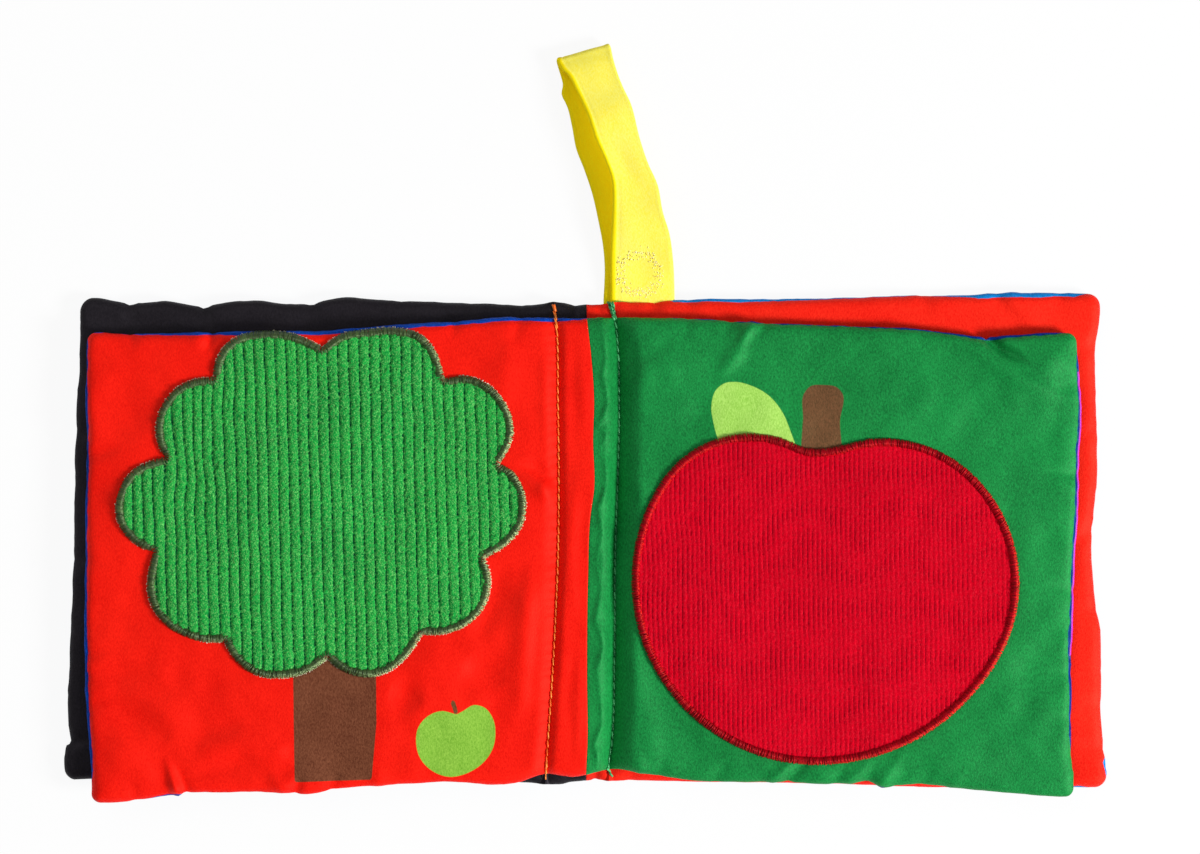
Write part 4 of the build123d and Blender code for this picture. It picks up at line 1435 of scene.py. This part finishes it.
# %% Fold the ribbon
def ribbon(name, left, right, thick):
    """A flat sewn tube between two edges, with a thicker hem along both."""
    at_hem = np.array([0, 0.01, 0.03, 0.06, 0.09, 0.12, 0.16])
    across = np.unique(np.concatenate([at_hem, np.linspace(0.2, 0.8, 13), 1 - at_hem]))
    count, wide = len(left), len(across)
    places = left[:, None] + (right - left)[:, None] * across[:, None]
    along = np.gradient(places, axis=0)
    aside = np.broadcast_to((right - left)[:, None], places.shape)
    normal = np.cross(along, aside)
    normal /= np.linalg.norm(normal, axis=2, keepdims=True)
    run = np.linspace(0, 1, count)[:, None] + 0 * across
    flat = np.stack([run.ravel() * 0.17, (across + 0 * run).ravel() * 0.02], 1)
    left_hem = np.exp(-(((across - 0.045) / 0.03) ** 2))
    right_hem = 0.7 * np.exp(-(((across - 0.965) / 0.03) ** 2))
    dent = 0.5 * np.exp(-(((across - 0.12) / 0.018) ** 2))
    ease = np.sqrt(np.clip(1 - (2 * across - 1) ** 20, 0, 1))
    uneven = waves(flat, 0.012, 41).reshape(count, wide)
    half = thick / 2 * ease * (0.8 + 0.35 * (left_hem + right_hem) - dent * 0.4 + 0.06 * uneven)
    buckle = 0.16 * mm * waves(flat, 0.02, 42).reshape(count, wide) * ease
    middle = places + normal * buckle[..., None]
    outer = middle - normal * half[..., None]
    inner = middle + normal * half[..., None]
    loop = np.concatenate([outer, inner[:, ::-1][:, 1:-1]], 1)
    loop[..., 2] = np.maximum(loop[..., 2], 0.02 * mm)
    around = loop.shape[1]
    grid = np.arange(count * around).reshape(count, around)
    a, b = grid[:-1], np.roll(grid, -1, 1)[:-1]
    faces = np.stack([a, a + around, b + around, b], -1).reshape(-1, 4).tolist()
    faces += [grid[0].tolist(), grid[-1][::-1].tolist()]
    mesh = bpy.data.meshes.new(name)
    mesh.from_pydata(loop.reshape(-1, 3).tolist(), [], faces)
    smooth(mesh)
    # painted shade: the lower layer, under the loop, and the left edge of the upper one, which lie
    # in shade, are a deeper yellow
    golden = np.where(run < 0.5, 1.0 * mm, 1.6 * mm - 18 * mm * across)
    store(mesh, "golden", np.concatenate([golden, golden[:, ::-1][:, 1:-1]], 1).ravel())
    return place(mesh), middle


strap, strap_middle = ribbon("yellow_strap", left_edge, right_edge, 1.25 * mm)
yellow_cotton = satin(
    "yellow_cotton", paint(254, 236, 66), paint(255, 248, 118), 0.8, 0.15, bump=0.2
)
# painted shade: a deeper yellow where the strap lies in shade
printed(yellow_cotton, "golden", paint(255, 226, 0), paint(255, 236, 22), soft=0.3 * mm)
strap.data.materials.append(yellow_cotton)
strap_top = max(point.co.z for point in strap.data.vertices)
print("strap", len(strap.data.polygons), "faces, height", round(strap_top / mm, 1), "mm")

# %% Ring of zigzag stitches on the strap
ring_middle, stitch_count, strap_half = on_book([(640, 273)], 5 * mm)[0], 330, 0.52 * mm
upper = strap_middle[-len(upper_edges[0]) :].reshape(-1, 3)
ring_paths = []
for _ in range(stitch_count):
    turn, way = dice.uniform(0, 2 * np.pi, 2)
    radius = np.clip(dice.normal(6.1, 0.85), 4.2, 8.0) * mm
    half = dice.uniform(0.2, 0.42) * mm * np.array([np.cos(way), np.sin(way)])
    spot = ring_middle + radius * np.array([np.cos(turn), np.sin(turn)])
    flat = spot + np.linspace(-1, 1, 5)[:, None] * half
    gap = np.linalg.norm(upper[:, None, :2] - flat[None], axis=2)
    sunk = np.array([-0.2, 0.0, 0.06, 0.0, -0.2]) * mm
    ring_paths.append(np.c_[flat, upper[gap.argmin(0), 2] + strap_half + sunk])
zigzag = tubes("strap_zigzag_ring", ring_paths, 0.13 * mm, 5)
zigzag.data.materials.append(thread_finish(
    "pale_yellow_thread", paint(250, 220, 60), paint(255, 252, 200), (1.0, 1.0, 0.8, 1.0)
))
print("ring of", len(ring_paths), "stitches")

# %% [markdown]
# ## What every piece moves with
# The spine stays down and each leaf turns about its stitch line. The half panels, the strap
# and the stitches keep the places they are built in. The patches and their borders ride on
# their leaves. The strap is caught in the right leaf's head seam, and its free end lies on the
# table by the spine.


def bend_at_stitches(piece):
    """Bakes the placement of a piece into its mesh."""
    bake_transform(piece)


# %% Replaced solids of the half panels
cloths = {
    "cover": ("outer_cloth", "inner_cloth", "batting"),
    "page": ("front_cloth", "back_cloth", "batting"),
}
for (kind, side), piece in halves.items():
    panel, strip = piece.name.split("_")
    bend_at_stitches(piece)
    # the solids of the spine strip go with the left half
    strips = (strip, "spine") if side < 0 else (strip,)
    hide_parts(*(f"{panel}_{part}_{cloth}" for part in strips for cloth in cloths[panel]))
print("panels:", [piece.name for piece in halves.values()])

# %% Patches, strap and stitches
for piece, leaf, node, slot in (
    (crown, "left_leaf", "tree_crown_patch", "green_corduroy"),
    (crown_band, "left_leaf", "tree_crown_border", "olive_thread"),
    (crown_specks, "left_leaf", "tree_crown_border", "olive_thread"),
    (apple, "right_leaf", "apple_patch", "crimson_corduroy"),
    (apple_band, "right_leaf", "apple_border", "crimson_thread"),
):
    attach(piece, leaf)
    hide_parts(node)

for piece in (strap, zigzag):
    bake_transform(piece)
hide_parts("hanging_loop")
for piece in sewing:
    side, leaf = (-1, "left_leaf") if piece.name.startswith("orange") else (1, "right_leaf")
    bend_at_stitches(piece)
print("riding on the leaves:", [piece.name for piece in (crown, crown_band, apple, apple_band)])


# %% Flat areas of the patches
def area_of(outline):
    """Area inside a closed outline."""
    after = np.roll(outline, -1, 0)
    return abs((outline[:, 0] * after[:, 1] - after[:, 0] * outline[:, 1]).sum()) / 2


print("flat areas:", round(area_of(crown_outline) * 1e4, 1), "and",
      round(area_of(apple_outline) * 1e4, 1), "cm2")

# %% [markdown]
# ## Table, light and room
# The book lies on a plain white table. The light is soft and comes mostly from the right, as
# the bright flanks of the borders and the dark side of the right crease tell. The table and
# the room are plain white to the camera, and the table keeps a faint shadow of the book.

# %% Floor
floor_mesh = bpy.data.meshes.new("floor")
floor_mesh.from_pydata([(-3, -3, 0), (3, -3, 0), (3, 3, 0), (-3, 3, 0)], [], [(0, 1, 2, 3)])
floor = place(floor_mesh)
floor.location.z = -0.0002
floor_paint = bpy.data.materials.new("floor_white")
floor_paint.use_nodes = True
tree = floor_paint.node_tree
tree.nodes.clear()
matt = add_node(tree, "BsdfDiffuse", {"Color": (0.85, 0.85, 0.85, 1)})
glow = add_node(tree, "Emission", {"Color": (1, 1, 1, 1), "Strength": 1.0})
rays = add_node(tree, "LightPath")
mostly = add_node(tree, "Math", {1: 0.92}, operation="MULTIPLY")
mixed = add_node(tree, "MixShader")
wire(
    tree,
    (rays, "Is Camera Ray", mostly, 0), (mostly, "Value", mixed, "Fac"),
    (matt, "BSDF", mixed, 1), (glow, "Emission", mixed, 2),
    (mixed, "Shader", add_node(tree, "OutputMaterial"), "Surface"),
)
floor.data.materials.append(floor_paint)
print("floor", round(-floor.location.z / mm, 1), "mm below the book")

# %% Room
world = bpy.data.worlds.new("room")
bpy.context.scene.world = world
world.use_nodes = True
tree = world.node_tree
light = tree.nodes["Background"]
light.inputs["Color"].default_value = (1, 1, 1, 1)
light.inputs["Strength"].default_value = 0.31
seen = add_node(tree, "Background", {"Color": (1, 1, 1, 1)})
mixed = add_node(tree, "MixShader")
wire(
    tree,
    (add_node(tree, "LightPath"), "Is Camera Ray", mixed, "Fac"),
    (light, "Background", mixed, 1), (seen, "Background", mixed, 2),
    (mixed, "Shader", tree.nodes["World Output"], "Surface"),
)
print("light of the room:", round(light.inputs["Strength"].default_value, 2))


# %% Lamps
def soft_box(name, spot, size, power):
    """A square lamp that looks at the middle of the book."""
    lamp = bpy.data.lights.new(name, "AREA")
    lamp.size = size
    lamp.energy = power
    box = bpy.data.objects.new(name, lamp)
    box.location = spot
    box.rotation_euler = (-box.location).to_track_quat("-Z", "Y").to_euler()
    bpy.context.scene.collection.objects.link(box)


soft_box("key", (1.6, -0.62, 1.08), 0.5, 52)
soft_box("fill", (-1.0, 1.0, 1.6), 1.4, 9)
bpy.context.scene.view_settings.view_transform = "Standard"
print("lamps:", [light.name for light in bpy.data.lights])
